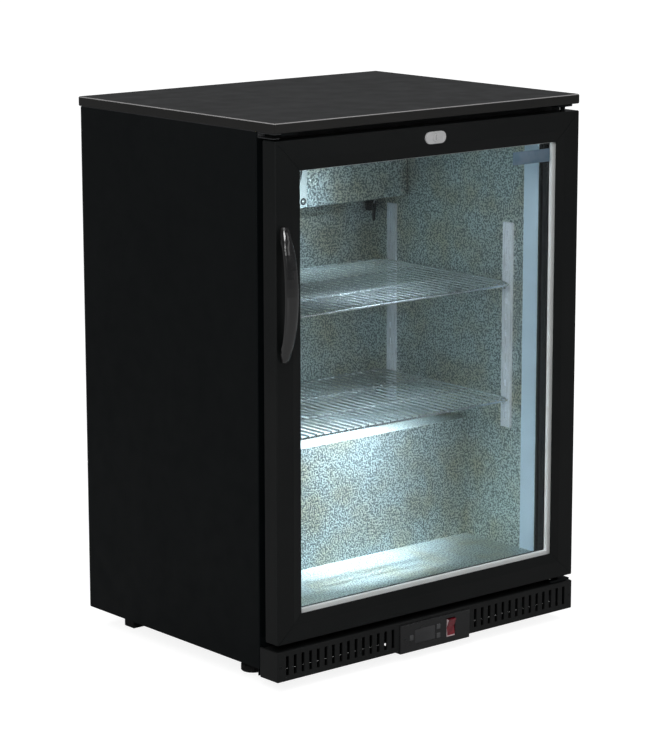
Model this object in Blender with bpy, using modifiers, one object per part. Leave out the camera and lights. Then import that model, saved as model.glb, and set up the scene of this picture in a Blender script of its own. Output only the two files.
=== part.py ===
"""Undercounter refrigerator with one glass door, a wire-shelf interior and a rear compressor bay.

Metres. X runs to the right, Y to the rear and Z up. The origin is on the floor, under the middle of the box.
"""

import math

import bmesh
import bpy
from mathutils import Matrix, Vector

# Driving dimensions
HALF_WIDTH = 0.300
FRONT = -0.225  # front face of the door, the worktop and the kick grille
CABINET_FRONT = -0.183
SHELL_REAR = 0.244
WORKTOP_REAR = 0.250
HEIGHT = 0.835
WORKTOP_THICKNESS = 0.015
SHEET = 0.001
FOLD = 0.002  # outer radius of a folded edge
GAP = 0.0003  # between pieces that touch

TRAY_BOTTOM = 0.0313
TRAY_FRONT = -0.1795
TRAY_THICKNESS = 0.0015
SIDE_BOTTOM = 0.031
GRILLE_BOTTOM, GRILLE_TOP = 0.019, 0.065
DUCT_TOP = 0.068
BAY_FRONT, BAY_TOP = 0.013, 0.265

CAVITY_HALF_WIDTH = 0.260
CAVITY_FLOOR, CAVITY_TOP = 0.108, 0.780
CAVITY_REAR = 0.205
STEP_FRONT, STEP_TOP = -0.022, 0.300
FOAM_FRONT = CABINET_FRONT + 0.0033
TRIM_HALF_WIDTH = 0.2812  # clear of the side panels' front returns

DOOR_HALF_WIDTH = 0.2995
DOOR_BOTTOM, DOOR_TOP = 0.0747, 0.8095
DOOR_REAR = -0.196
GLASS_HALF_WIDTH = 0.253
GLASS_BOTTOM, GLASS_TOP = 0.1157, 0.765
GLASS_BITE = 0.0125  # how far the panes reach under the frame
BEVEL_WIDTH, BEVEL_DEPTH = 0.0155, 0.0024  # the frame's slope towards the glass
PANE = 0.004
PANE_FRONT = -0.2213
PANE_SPACE = 0.006
UNIT_REAR = PANE_FRONT + 2 * PANE + PANE_SPACE + 2 * GAP
HINGE_X, HINGE_Y = 0.278, -0.210
HINGE_PLATE = 0.003
LOCK_X, LOCK_Z = 0.0015, 0.792
BOLT_FRONT, BOLT_REAR = -0.2128, -0.2098
BOLT_BOTTOM, BOLT_TOP = 0.7815, 0.8080
HANDLE_LEFT, HANDLE_RIGHT = -0.297, -0.275
HANDLE_BOTTOM, HANDLE_TOP = 0.493, 0.689

SHELF_TOPS = {"upper": 0.5365, "lower": 0.352}
SHELF_HALF_WIDTH = 0.2515
SHELF_FRONT, SHELF_REAR = -0.131, 0.185
SHELF_THICKNESS = 0.004
SHELF_SLOTS = 34
PILASTER_FACE = 0.255
PILASTER_BOTTOM, PILASTER_TOP = 0.301, 0.628
PILASTER_WIDTH = 0.020
PILASTER_FRONTS = {"front": -0.125, "rear": 0.150}
NOTCHES_BETWEEN_SHELVES = 7
NOTCH_PITCH = (SHELF_TOPS["upper"] - SHELF_TOPS["lower"]) / NOTCHES_BETWEEN_SHELVES
NOTCH_HALF_HEIGHT = 0.005
CLIP_THICKNESS = 0.003

FOOT_X, FOOT_Y = 0.248, -0.102
REAR_FOOT_OUTER, REAR_FOOT_INNER = 0.261, 0.223
REAR_FOOT_FRONT, REAR_FOOT_REAR = 0.182, 0.207

PANEL_LEFT, PANEL_RIGHT = -0.0635, 0.078  # control panel in the kick grille
PANEL_BOTTOM, PANEL_TOP = 0.015, 0.060
PANEL_FRONT = -0.227
DISPLAY_LEFT, DISPLAY_RIGHT = -0.0345, 0.0070
DISPLAY_BOTTOM, DISPLAY_TOP = 0.0265, 0.0495
DISPLAY_DEPTH = 0.0008
BUTTON_SIZE = Vector((0.0070, 0.0050, 0.0080))
BUTTONS = {"set": (-0.0415, 0.0375), "up": (0.0135, 0.0450), "down": (0.0135, 0.0310)}
ROCKER_LEFT, ROCKER_RIGHT = 0.030, 0.048
ROCKER_BOTTOM, ROCKER_TOP = 0.024, 0.054
ROCKER_PIVOT_Y = -0.2235
ROCKER_TILT = 7

LAMP_Y, LAMP_Z, LAMP_RADIUS = -0.149, 0.7672, 0.006

EVAPORATOR_HALF_WIDTH = 0.2585
EVAPORATOR_FRONT, EVAPORATOR_BOTTOM = 0.125, 0.645
COIL_LEFT, COIL_RIGHT = -0.235, -0.080
COIL_FRONT, COIL_REAR, COIL_BOTTOM = 0.140, 0.190, 0.665
EVAPORATOR_FAN = Vector((-0.015, 0.139, 0.708))
EVAPORATOR_HOLE = 0.046
CONDENSER_FAN = Vector((0.135, 0.086, 0.140))
COMPRESSOR = Vector((-0.120, 0.140, 0.042))
COMPRESSOR_RADIUS = 0.062
CONDENSER_LEFT, CONDENSER_RIGHT = 0.020, 0.250
CONDENSER_FRONT, CONDENSER_REAR = 0.030, 0.070
CONDENSER_BOTTOM, CONDENSER_TOP = TRAY_BOTTOM + TRAY_THICKNESS + GAP, 0.240
DRIP_TRAY_LEFT, DRIP_TRAY_RIGHT = -0.205, -0.035
DRIP_TRAY_FRONT, DRIP_TRAY_REAR = 0.055, 0.210
DRIP_TRAY_BOTTOM, DRIP_TRAY_TOP = 0.213, 0.245
SUCTION_X, LIQUID_X = -0.100, -0.115
CHASE_Y = 0.226  # depth of the pipes in the rear foam
COIL_PORT_Z = 0.702

SIDES = {"left": -1, "right": 1}

# colour, roughness, metallic, transmission
FINISHES = {
    "black_steel": ((0.009, 0.010, 0.010), 0.42, 0.0, 0.0),
    "worktop": ((0.045, 0.044, 0.042), 0.38, 0.0, 0.0),
    "black_plastic": ((0.012, 0.013, 0.013), 0.5, 0.0, 0.0),
    "gloss_black": ((0.006, 0.006, 0.006), 0.12, 0.0, 0.0),
    "embossed_aluminium": ((0.72, 0.74, 0.75), 0.35, 1.0, 0.0),
    "galvanised": ((0.55, 0.57, 0.58), 0.45, 1.0, 0.0),
    "foam": ((0.80, 0.72, 0.50), 0.9, 0.0, 0.0),
    "chrome": ((0.80, 0.80, 0.82), 0.12, 1.0, 0.0),
    "rubber": ((0.010, 0.010, 0.011), 0.75, 0.0, 0.0),
    "glass": ((0.93, 0.97, 0.96), 0.02, 0.0, 1.0),
    "spacer": ((0.78, 0.77, 0.76), 0.3, 1.0, 0.0),
    "copper": ((0.83, 0.42, 0.24), 0.3, 1.0, 0.0),
    "light_tube": ((0.90, 0.96, 1.0), 0.3, 0.0, 0.0),
    "red_plastic": ((0.45, 0.01, 0.02), 0.25, 0.0, 0.0),
    "grey_plastic": ((0.25, 0.26, 0.26), 0.45, 0.0, 0.0),
}

# Columns of each plane: the outline's first axis, its second and its thickness
PLANES = {
    "XY": Matrix(((1, 0, 0), (0, 1, 0), (0, 0, 1))),
    "YZ": Matrix(((0, 0, 1), (1, 0, 0), (0, 1, 0))),
    "XZ": Matrix(((1, 0, 0), (0, 0, -1), (0, 1, 0))),
}


def clear_scene():
    for obj in list(bpy.data.objects):
        bpy.data.objects.remove(obj, do_unlink=True)


def new_collection(name):
    collection = bpy.data.collections.new(name)
    bpy.context.scene.collection.children.link(collection)
    return collection


def add_material(obj, finish):
    colour, roughness, metallic, transmission = FINISHES[finish]
    material = bpy.data.materials.new(obj.name)
    material.use_nodes = True
    shader = material.node_tree.nodes["Principled BSDF"]
    shader.inputs["Base Color"].default_value = (*colour, 1)
    shader.inputs["Roughness"].default_value = roughness
    shader.inputs["Metallic"].default_value = metallic
    shader.inputs["Transmission Weight"].default_value = transmission
    obj.data.materials.append(material)


def part_from(name, mesh, finish, origin=(0, 0, 0)):
    """One object of the refrigerator, from a mesh in world space. Its own origin goes to the given point."""
    mesh.name = name
    mesh.transform(Matrix.Translation(-Vector(origin)))
    obj = bpy.data.objects.new(name, mesh)
    obj.location = origin
    PARTS.objects.link(obj)
    add_material(obj, finish)
    return obj


def helper_from(name, mesh):
    """An object that cuts or joins a part, and isn't one itself."""
    obj = bpy.data.objects.new(name, mesh)
    obj.hide_render = True
    obj.display_type = "WIRE"
    HELPERS.objects.link(obj)
    return obj


def box_mesh(low, high, bevel=0.0, segments=2):
    low, high = Vector(low), Vector(high)
    mesh = bpy.data.meshes.new("box")
    bm = bmesh.new()
    size = Matrix.Diagonal((high - low).to_4d())
    bmesh.ops.create_cube(bm, size=1, matrix=Matrix.Translation((low + high) / 2) @ size)
    if bevel:
        bmesh.ops.bevel(bm, geom=bm.edges[:], offset=bevel, segments=segments, profile=0.5, affect="EDGES")
    bm.to_mesh(mesh)
    bm.free()
    return mesh


def rod_mesh(centre, radius, start, end, axis="Z", sides=24):
    """A cylinder along a world axis, from start to end. The centre's place along that axis isn't used."""
    turn = {
        "X": Matrix.Rotation(math.pi / 2, 4, "Y"),
        "Y": Matrix.Rotation(-math.pi / 2, 4, "X"),
        "Z": Matrix.Identity(4),
    }[axis]
    middle = Vector(centre)
    middle["XYZ".index(axis)] = (start + end) / 2
    mesh = bpy.data.meshes.new("rod")
    bm = bmesh.new()
    bmesh.ops.create_cone(
        bm,
        cap_ends=True,
        segments=sides,
        radius1=radius,
        radius2=radius,
        depth=end - start,
        matrix=Matrix.Translation(middle) @ turn,
    )
    bm.to_mesh(mesh)
    bm.free()
    return mesh


def mesh_of(curve_object):
    """The curve's evaluated mesh in world space, with its caps welded. The curve is removed."""
    bpy.context.view_layer.update()
    graph = bpy.context.evaluated_depsgraph_get()
    mesh = bpy.data.meshes.new_from_object(curve_object.evaluated_get(graph))
    bm = bmesh.new()
    bm.from_mesh(mesh)
    bmesh.ops.remove_doubles(bm, verts=bm.verts, dist=1e-6)
    bmesh.ops.recalc_face_normals(bm, faces=bm.faces)
    bm.to_mesh(mesh)
    bm.free()
    mesh.transform(curve_object.matrix_world)
    bpy.data.objects.remove(curve_object, do_unlink=True)
    return mesh


def plate_mesh(loops, plane, start, end):
    """The area inside the first loop and outside the others, with depth from start to end."""
    curve = bpy.data.curves.new("plate", "CURVE")
    curve.dimensions = "2D"
    curve.fill_mode = "BOTH"
    curve.extrude = abs(end - start) / 2
    for loop in loops:
        spline = curve.splines.new("POLY")
        spline.points.add(len(loop) - 1)
        for point, (u, v) in zip(spline.points, loop):
            point.co = (u, v, 0, 1)
        spline.use_cyclic_u = True
    obj = bpy.data.objects.new("plate", curve)
    HELPERS.objects.link(obj)
    turn = PLANES[plane]
    middle = [0, 0, 0]
    middle["XYZ".index(({"X", "Y", "Z"} - set(plane)).pop())] = (start + end) / 2
    obj.matrix_world = Matrix.Translation(middle) @ turn.to_4x4()
    return mesh_of(obj)


def tube_mesh(points, radius, resolution=2):
    curve = bpy.data.curves.new("tube", "CURVE")
    curve.dimensions = "3D"
    curve.bevel_depth = radius
    curve.bevel_resolution = resolution
    curve.use_fill_caps = True
    spline = curve.splines.new("POLY")
    spline.points.add(len(points) - 1)
    for point, place in zip(spline.points, points):
        point.co = (*place, 1)
    obj = bpy.data.objects.new("tube", curve)
    HELPERS.objects.link(obj)
    return mesh_of(obj)


def turned(name, profile, centre, finish, steps=24, helper=False):
    """A solid turned about the vertical through centre, from a profile of its outer side, top to bottom."""
    mesh = bpy.data.meshes.new(name)
    bm = bmesh.new()
    verts = [bm.verts.new((radius, 0, height)) for radius, height in profile]
    for above, below in zip(verts, verts[1:]):
        bm.edges.new((above, below))
    bm.to_mesh(mesh)
    bm.free()
    obj = helper_from(name, mesh) if helper else part_from(name, mesh, finish)
    obj.location = centre
    screw = obj.modifiers.new("turn", "SCREW")
    screw.steps = screw.render_steps = steps
    screw.use_merge_vertices = True
    screw.merge_threshold = 1e-5
    return obj


def combine(obj, mesh, operation, solver="EXACT"):
    helper = helper_from(f"{obj.name}_{operation.lower()}", mesh)
    modifier = obj.modifiers.new(helper.name, "BOOLEAN")
    modifier.operation = operation
    modifier.solver = solver
    modifier.object = helper
    return helper


def cut(obj, *meshes):
    return [combine(obj, mesh, "DIFFERENCE") for mesh in meshes]


def join(obj, *meshes, solver="EXACT"):
    return [combine(obj, mesh, "UNION", solver) for mesh in meshes]


def repeat(helper, count, step):
    array = helper.modifiers.new("repeat", "ARRAY")
    array.count = count
    array.use_relative_offset = False
    array.use_constant_offset = True
    array.constant_offset_displace = step


def smooth(obj, angle=35):
    obj.data.shade_smooth()
    obj.data.set_sharp_from_angle(angle=math.radians(angle))


def rectangle(left, right, bottom, top):
    return [(left, bottom), (right, bottom), (right, top), (left, top)]


def arc(centre, radius, start, end, steps):
    angles = [math.radians(start + (end - start) * i / steps) for i in range(steps + 1)]
    return [(centre[0] + radius * math.cos(a), centre[1] + radius * math.sin(a)) for a in angles]


def rounded_rectangle(left, right, bottom, top, radius, steps=3):
    corners = [(right, top, 0), (left, top, 90), (left, bottom, 180), (right, bottom, 270)]
    loop = []
    for x, y, angle in corners:
        inward_x = radius if x == left else -radius
        inward_y = radius if y == bottom else -radius
        loop += arc((x + inward_x, y + inward_y), radius, angle, angle + 90, steps)
    return loop


def filleted(corners, steps=3):
    """The outline through the corners (x, y, radius), with each radius over 0 made a curve."""
    loop = []
    for i, (x, y, radius) in enumerate(corners):
        here = Vector((x, y))
        if not radius:
            loop.append((x, y))
            continue
        before = (Vector(corners[i - 1][:2]) - here).normalized()
        after = (Vector(corners[(i + 1) % len(corners)][:2]) - here).normalized()
        reach = radius / math.tan(before.angle(after) / 2)
        start, end = here + before * reach, here + after * reach
        for k in range(steps + 1):
            t = k / steps
            loop.append(tuple(start * (1 - t) ** 2 + here * 2 * t * (1 - t) + end * t**2))
    return loop


def side_panels():
    """Folded sheet sides, with a return at the front and one at the rear."""
    front_return, rear_return = 0.0185, 0.014
    inner_fold = FOLD - SHEET
    for side, sign in SIDES.items():
        outside, inside = sign * HALF_WIDTH, sign * (HALF_WIDTH - SHEET)
        front_end, rear_end = sign * (HALF_WIDTH - front_return), sign * (HALF_WIDTH - rear_return)
        section = filleted(
            [
                (outside, CABINET_FRONT, FOLD),
                (outside, SHELL_REAR, FOLD),
                (rear_end, SHELL_REAR, 0),
                (rear_end, SHELL_REAR - SHEET, 0),
                (inside, SHELL_REAR - SHEET, inner_fold),
                (inside, CABINET_FRONT + SHEET, inner_fold),
                (front_end, CABINET_FRONT + SHEET, 0),
                (front_end, CABINET_FRONT, 0),
            ]
        )
        top = HEIGHT - WORKTOP_THICKNESS - GAP
        panel = part_from(f"side_panel_{side}", plate_mesh([section], "XY", SIDE_BOTTOM, top), "black_steel")
        smooth(panel)


def rear_panel():
    low = (-HALF_WIDTH + SHEET, SHELL_REAR + GAP, BAY_TOP)
    high = (HALF_WIDTH - SHEET, SHELL_REAR + GAP + SHEET, HEIGHT - WORKTOP_THICKNESS - GAP)
    part_from("rear_panel", box_mesh(low, high), "galvanised")


def top_panel():
    """Folded pan over the foam. Its front overhang is closed below, with a slot that keeps the lock bolt."""
    bottom = HEIGHT - WORKTOP_THICKNESS
    slab = box_mesh((-HALF_WIDTH, FRONT, bottom), (HALF_WIDTH, WORKTOP_REAR, HEIGHT), bevel=0.002)
    top = part_from("top_panel", slab, "worktop")
    inside, roof, rear = HALF_WIDTH - SHEET, HEIGHT - SHEET, WORKTOP_REAR - SHEET
    below = bottom - 0.01
    keeper_half, keeper_margin = 0.012, 0.0037
    cut(
        top,
        box_mesh((-inside, FRONT + SHEET, bottom + SHEET), (inside, rear, roof)),
        box_mesh((-inside, CABINET_FRONT + SHEET, below), (inside, rear, roof - 0.002)),
        box_mesh(
            (LOCK_X - keeper_half, BOLT_FRONT - keeper_margin, below),
            (LOCK_X + keeper_half, BOLT_REAR + keeper_margin, bottom + 0.008),
        ),
    )
    smooth(top)


def cavity_section(grow):
    """The inside of the cabinet seen from its left, grown outwards on all sides but the open front."""
    mouth = CABINET_FRONT - 0.020
    return [
        (mouth, CAVITY_FLOOR - grow),
        (STEP_FRONT + grow, CAVITY_FLOOR - grow),
        (STEP_FRONT + grow, STEP_TOP - grow),
        (CAVITY_REAR + grow, STEP_TOP - grow),
        (CAVITY_REAR + grow, CAVITY_TOP + grow),
        (mouth, CAVITY_TOP + grow),
    ]


def cavity_mesh(grow):
    half = CAVITY_HALF_WIDTH + grow
    return plate_mesh([cavity_section(grow)], "YZ", -half, half)


def foam_insulation():
    rear = SHELL_REAR - SHEET - GAP
    top = HEIGHT - SHEET - GAP
    section = [
        (FOAM_FRONT, DUCT_TOP),
        (BAY_FRONT - GAP, DUCT_TOP),
        (BAY_FRONT - GAP, BAY_TOP + GAP),
        (rear, BAY_TOP + GAP),
        (rear, top),
        (FOAM_FRONT, top),
    ]
    half = HALF_WIDTH - SHEET - GAP
    foam = part_from("foam_insulation", plate_mesh([section], "YZ", -half, half), "foam")
    cut(foam, cavity_mesh(SHEET + GAP))
    around = 0.012  # room round the pipes
    chase_left, chase_right = LIQUID_X - around, SUCTION_X + around
    chase_front = CHASE_Y - 0.010
    chase_top = COIL_PORT_Z + around
    port_low = (chase_left, CAVITY_REAR - 0.005, COIL_PORT_Z - around)
    cut(
        foam,
        box_mesh((chase_left, chase_front, BAY_TOP - 0.01), (chase_right, rear + 0.01, chase_top)),
        box_mesh(port_low, (chase_right, chase_front + 0.002, chase_top)),
    )


def inner_liner():
    half = CAVITY_HALF_WIDTH + SHEET
    section = [(max(y, FOAM_FRONT), z) for y, z in cavity_section(SHEET)]
    liner = part_from("inner_liner", plate_mesh([section], "YZ", -half, half), "embossed_aluminium")
    cut(
        liner,
        cavity_mesh(0),
        rod_mesh((SUCTION_X, 0, COIL_PORT_Z), 0.0055, CAVITY_REAR - 0.01, CAVITY_REAR + 0.01, "Y", 16),
        rod_mesh((LIQUID_X, 0, COIL_PORT_Z), 0.0035, CAVITY_REAR - 0.01, CAVITY_REAR + 0.01, "Y", 12),
    )


def opening_trim():
    """Frame round the mouth of the cabinet, which the door gasket seals on."""
    outer = rectangle(-TRIM_HALF_WIDTH, TRIM_HALF_WIDTH, DUCT_TOP + GAP, HEIGHT - WORKTOP_THICKNESS - 0.001)
    lip = 0.0005
    half = CAVITY_HALF_WIDTH - lip
    inner = rounded_rectangle(-half, half, CAVITY_FLOOR - lip, CAVITY_TOP + lip, 0.004)
    mesh = plate_mesh([outer, inner], "XZ", CABINET_FRONT, CABINET_FRONT + 0.003)
    part_from("opening_trim", mesh, "black_plastic")


def base_tray():
    """Floor of the machine bay: turned up at its sides, and down at its front behind the kick grille."""
    half, floor, flange = HALF_WIDTH - SHEET - GAP, TRAY_THICKNESS, 0.0167
    section = [
        (-half, TRAY_BOTTOM),
        (half, TRAY_BOTTOM),
        (half, TRAY_BOTTOM + flange),
        (half - floor, TRAY_BOTTOM + flange),
        (half - floor, TRAY_BOTTOM + floor),
        (-half + floor, TRAY_BOTTOM + floor),
        (-half + floor, TRAY_BOTTOM + flange),
        (-half, TRAY_BOTTOM + flange),
    ]
    mesh = plate_mesh([section], "XZ", TRAY_FRONT, SHELL_REAR - SHEET - GAP)
    tray = part_from("base_tray", mesh, "black_steel")
    apron_bottom = GRILLE_BOTTOM + 0.001
    apron_low = (-half, TRAY_FRONT, apron_bottom)
    join(tray, box_mesh(apron_low, (half, TRAY_FRONT + floor, TRAY_BOTTOM + floor / 2)))
    for sign in SIDES.values():
        stud = (sign * FOOT_X, FOOT_Y, 0)
        cut(tray, rod_mesh(stud, 0.006, TRAY_BOTTOM - 0.01, TRAY_BOTTOM + 0.01, sides=16))


def kick_grille():
    """Shallow box with slots in its front, open at the rear, and notched for the control panel."""
    wall = 0.0025
    back = CABINET_FRONT - 0.0005
    top_flange_end, floor_end = -0.1905, -0.1815
    box = box_mesh((-HALF_WIDTH, FRONT, GRILLE_BOTTOM), (HALF_WIDTH, back, GRILLE_TOP), bevel=0.0015)
    grille = part_from("kick_grille", box, "black_plastic")
    inside = HALF_WIDTH - wall
    behind, below = back + 0.01, GRILLE_BOTTOM - 0.01
    cut(
        grille,
        box_mesh((-inside, FRONT + wall, GRILLE_BOTTOM + wall), (inside, behind, GRILLE_TOP - wall)),
        box_mesh((-inside, top_flange_end, GRILLE_BOTTOM + wall), (inside, behind, GRILLE_TOP + 0.01)),
        box_mesh((-inside, floor_end, below), (inside, behind, GRILLE_TOP + 0.01)),
        box_mesh((PANEL_LEFT - GAP, FRONT - 0.01, below), (PANEL_RIGHT + GAP, behind, PANEL_TOP + GAP)),
    )
    pitch, width, low, high = 0.0146, 0.0055, 0.028, 0.057
    margin = 0.010
    for name, left, right in (
        ("left", -HALF_WIDTH + margin, PANEL_LEFT - margin / 2),
        ("right", PANEL_RIGHT + margin / 2, HALF_WIDTH - margin),
    ):
        count = int((right - left - width) / pitch) + 1
        start = (left + right - (count - 1) * pitch) / 2
        slot = box_mesh((start - width / 2, FRONT - 0.01, low), (start + width / 2, FRONT + 0.01, high))
        repeat(cut(grille, slot)[0], count, (pitch, 0, 0))


def controller_bezel():
    """Control panel with a sunk display window, a well for the rocker and one for each button."""
    back, rocker_well, button_well = -0.1925, 0.0140, 0.0056
    box = box_mesh((PANEL_LEFT, PANEL_FRONT, PANEL_BOTTOM), (PANEL_RIGHT, back, PANEL_TOP), bevel=0.0012)
    panel = part_from("controller_bezel", box, "black_plastic")
    ahead = PANEL_FRONT - 0.01
    display_high = (DISPLAY_RIGHT, PANEL_FRONT + DISPLAY_DEPTH, DISPLAY_TOP)
    cut(
        panel,
        box_mesh((DISPLAY_LEFT, ahead, DISPLAY_BOTTOM), display_high),
        box_mesh((ROCKER_LEFT, ahead, ROCKER_BOTTOM), (ROCKER_RIGHT, PANEL_FRONT + rocker_well, ROCKER_TOP)),
    )
    clearance = 0.0004
    half_width, half_height = BUTTON_SIZE.x / 2 + clearance, BUTTON_SIZE.z / 2 + clearance
    floor = PANEL_FRONT + button_well
    for x, z in BUTTONS.values():
        low = (x - half_width, ahead, z - half_height)
        cut(panel, box_mesh(low, (x + half_width, floor, z + half_height)))


def buttons():
    proud = 0.0010
    for name, (x, z) in BUTTONS.items():
        low = Vector((x - BUTTON_SIZE.x / 2, PANEL_FRONT - proud, z - BUTTON_SIZE.z / 2))
        mesh = box_mesh(low, low + BUTTON_SIZE, bevel=0.0006, segments=1)
        part_from(f"button_{name}", mesh, "grey_plastic", (x, PANEL_FRONT, z))


def rocker_switch():
    """Two inclined faces on one pivot. It rests with its upper end out."""
    half = (ROCKER_TOP - ROCKER_BOTTOM) / 2 - 0.0012
    back_half = half - 0.0013
    section = [(0.004, -back_half), (0.004, back_half), (-0.0050, half), (-0.0018, 0), (-0.0050, -half)]
    clearance = 0.0006
    mesh = plate_mesh([section], "YZ", ROCKER_LEFT + clearance, ROCKER_RIGHT - clearance)
    mesh.transform(Matrix.Rotation(math.radians(ROCKER_TILT), 4, "X"))
    pivot = Vector(((ROCKER_LEFT + ROCKER_RIGHT) / 2, ROCKER_PIVOT_Y, (ROCKER_BOTTOM + ROCKER_TOP) / 2))
    mesh.transform(Matrix.Translation((0, pivot.y, pivot.z)))
    part_from("rocker_switch", mesh, "red_plastic", pivot)


def feet():
    """Levelling feet at the front, on studs through the base tray, and fixed blocks at the rear."""
    profile = [
        (0, 0.046),
        (0.0035, 0.046),
        (0.0040, 0.0455),
        (0.0040, 0.0390),
        (0.0085, 0.0390),
        (0.0085, 0.0334),
        (0.0040, 0.0334),
        (0.0040, 0.0180),
        (0.0090, 0.0165),
        (0.0165, 0.0120),
        (0.0180, 0.0100),
        (0.0180, 0.0015),
        (0.0165, 0.0),
        (0, 0.0),
    ]
    for side, sign in SIDES.items():
        foot = turned(f"foot_front_{side}", profile, (sign * FOOT_X, FOOT_Y, 0), "rubber", steps=20)
        smooth(foot)
        xs = sorted((sign * REAR_FOOT_OUTER, sign * REAR_FOOT_INNER))
        low, high = (xs[0], REAR_FOOT_FRONT, 0), (xs[1], REAR_FOOT_REAR, TRAY_BOTTOM - GAP)
        part_from(f"foot_rear_{side}", box_mesh(low, high, bevel=0.0015, segments=1), "rubber")


def hinge_brackets():
    """Plates under the worktop and over the kick grille, with the door's pins. One more is a spare."""
    thick = HINGE_PLATE
    pin, pin_reach = 0.004, 0.010
    plate_front, plate_rear = -0.2225, CABINET_FRONT - 0.0010
    under_worktop = HEIGHT - WORKTOP_THICKNESS - GAP
    inner, outer = 0.2555, 0.2865
    pin_centre = (HINGE_X, HINGE_Y, 0)
    plate = box_mesh((inner, plate_front, under_worktop - thick), (outer, plate_rear, under_worktop))
    top = part_from("hinge_bracket_top", plate, "galvanised")
    join(top, rod_mesh(pin_centre, pin, DOOR_TOP - pin_reach, under_worktop - thick / 2, sides=16))

    plate = box_mesh((-outer, plate_front, under_worktop - thick), (-inner, plate_rear, under_worktop))
    spare = part_from("hinge_bracket_spare", plate, "galvanised")
    cut(spare, rod_mesh((-HINGE_X, HINGE_Y, 0), pin, DOOR_TOP, under_worktop + 0.01, sides=16))

    plate_top, leg_bottom, leg_outer = 0.0695, 0.038, 0.2955
    leg_back = CABINET_FRONT - GAP
    section = [
        (plate_front, plate_top - thick),
        (leg_back - thick, plate_top - thick),
        (leg_back - thick, leg_bottom),
        (leg_back, leg_bottom),
        (leg_back, plate_top),
        (plate_front, plate_top),
    ]
    bottom = part_from("hinge_bracket_bottom", plate_mesh([section], "YZ", inner, leg_outer), "galvanised")
    join(bottom, rod_mesh(pin_centre, pin, plate_top - thick / 2, 0.100, sides=16))


def ring_between(low_loop, high_loop, y_low, y_high, y_cap):
    """A closed solid from one loop at y_low to a wider one at y_high, carried straight on to y_cap."""
    bm = bmesh.new()
    rings = []
    for loop, y in ((low_loop, y_low), (high_loop, y_high), (high_loop, y_cap)):
        rings.append([bm.verts.new((x, y, z)) for x, z in loop])
    bm.faces.new(rings[0])
    bm.faces.new(reversed(rings[-1]))
    for near, far in zip(rings, rings[1:]):
        for i in range(len(near)):
            bm.faces.new((near[i], near[i - 1], far[i - 1], far[i]))
    bmesh.ops.recalc_face_normals(bm, faces=bm.faces)
    mesh = bpy.data.meshes.new("ring")
    bm.to_mesh(mesh)
    bm.free()
    return mesh


def mitre_grooves():
    """The fine joint lines that run from each outer corner of the door to the corner of its glass."""
    half, depth, ahead = 0.0003, 0.0004, FRONT - 0.001
    meshes = []
    for sign in SIDES.values():
        for outer_z, inner_z in ((DOOR_TOP, GLASS_TOP), (DOOR_BOTTOM, GLASS_BOTTOM)):
            start = Vector((sign * DOOR_HALF_WIDTH, 0, outer_z))
            end = Vector((sign * GLASS_HALF_WIDTH, 0, inner_z))
            along = (end - start).normalized()
            length = (end - start).length
            flat = length * (1 - BEVEL_WIDTH / (DOOR_HALF_WIDTH - GLASS_HALF_WIDTH))
            section = [
                (-0.001, ahead),
                (length, ahead),
                (length, FRONT + BEVEL_DEPTH + depth),
                (flat, FRONT + depth),
                (-0.001, FRONT + depth),
            ]
            mesh = plate_mesh([section], "XY", -half, half)
            across = along.cross(Vector((0, 1, 0)))
            turn = Matrix((along, (0, 1, 0), across)).transposed().to_4x4()
            mesh.transform(Matrix.Translation(start) @ turn)
            meshes.append(mesh)
    return meshes


def door_frame():
    """Four mitred stiles in one ring, with a bevel, a glass channel, hinge bores and a lock pocket."""
    low, high = (-DOOR_HALF_WIDTH, FRONT, DOOR_BOTTOM), (DOOR_HALF_WIDTH, DOOR_REAR, DOOR_TOP)
    slab = box_mesh(low, high, bevel=0.0012, segments=1)
    frame = part_from("door_frame", slab, "black_steel", (HINGE_X, HINGE_Y, 0))
    opening = rectangle(-GLASS_HALF_WIDTH, GLASS_HALF_WIDTH, GLASS_BOTTOM, GLASS_TOP)
    wide = GLASS_HALF_WIDTH + BEVEL_WIDTH
    bevel_outline = rectangle(-wide, wide, GLASS_BOTTOM - BEVEL_WIDTH, GLASS_TOP + BEVEL_WIDTH)
    channel_low = (-GLASS_HALF_WIDTH - GLASS_BITE, PANE_FRONT - GAP, GLASS_BOTTOM - GLASS_BITE)
    channel_high = (GLASS_HALF_WIDTH + GLASS_BITE, UNIT_REAR + GAP, GLASS_TOP + GLASS_BITE)
    pocket_top, pocket_half, play = DOOR_TOP + 0.005, 0.0075, 0.0006
    cut(
        frame,
        plate_mesh([opening], "XZ", FRONT - 0.01, DOOR_REAR + 0.01),
        ring_between(opening, bevel_outline, FRONT + BEVEL_DEPTH, FRONT, FRONT - 0.005),
        box_mesh(channel_low, channel_high),
        rod_mesh((HINGE_X, HINGE_Y, 0), 0.005, DOOR_TOP - 0.0145, pocket_top, sides=16),
        rod_mesh((HINGE_X, HINGE_Y, 0), 0.0075, DOOR_BOTTOM - 0.005, 0.135, sides=16),
        rod_mesh((LOCK_X, 0, LOCK_Z), 0.0085, FRONT - 0.005, BOLT_FRONT - play, "Y", 20),
        box_mesh(
            (LOCK_X - pocket_half, BOLT_FRONT - play, BOLT_BOTTOM - 0.0005),
            (LOCK_X + pocket_half, BOLT_REAR + play, pocket_top),
        ),
        *mitre_grooves(),
    )
    smooth(frame, 20)


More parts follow.
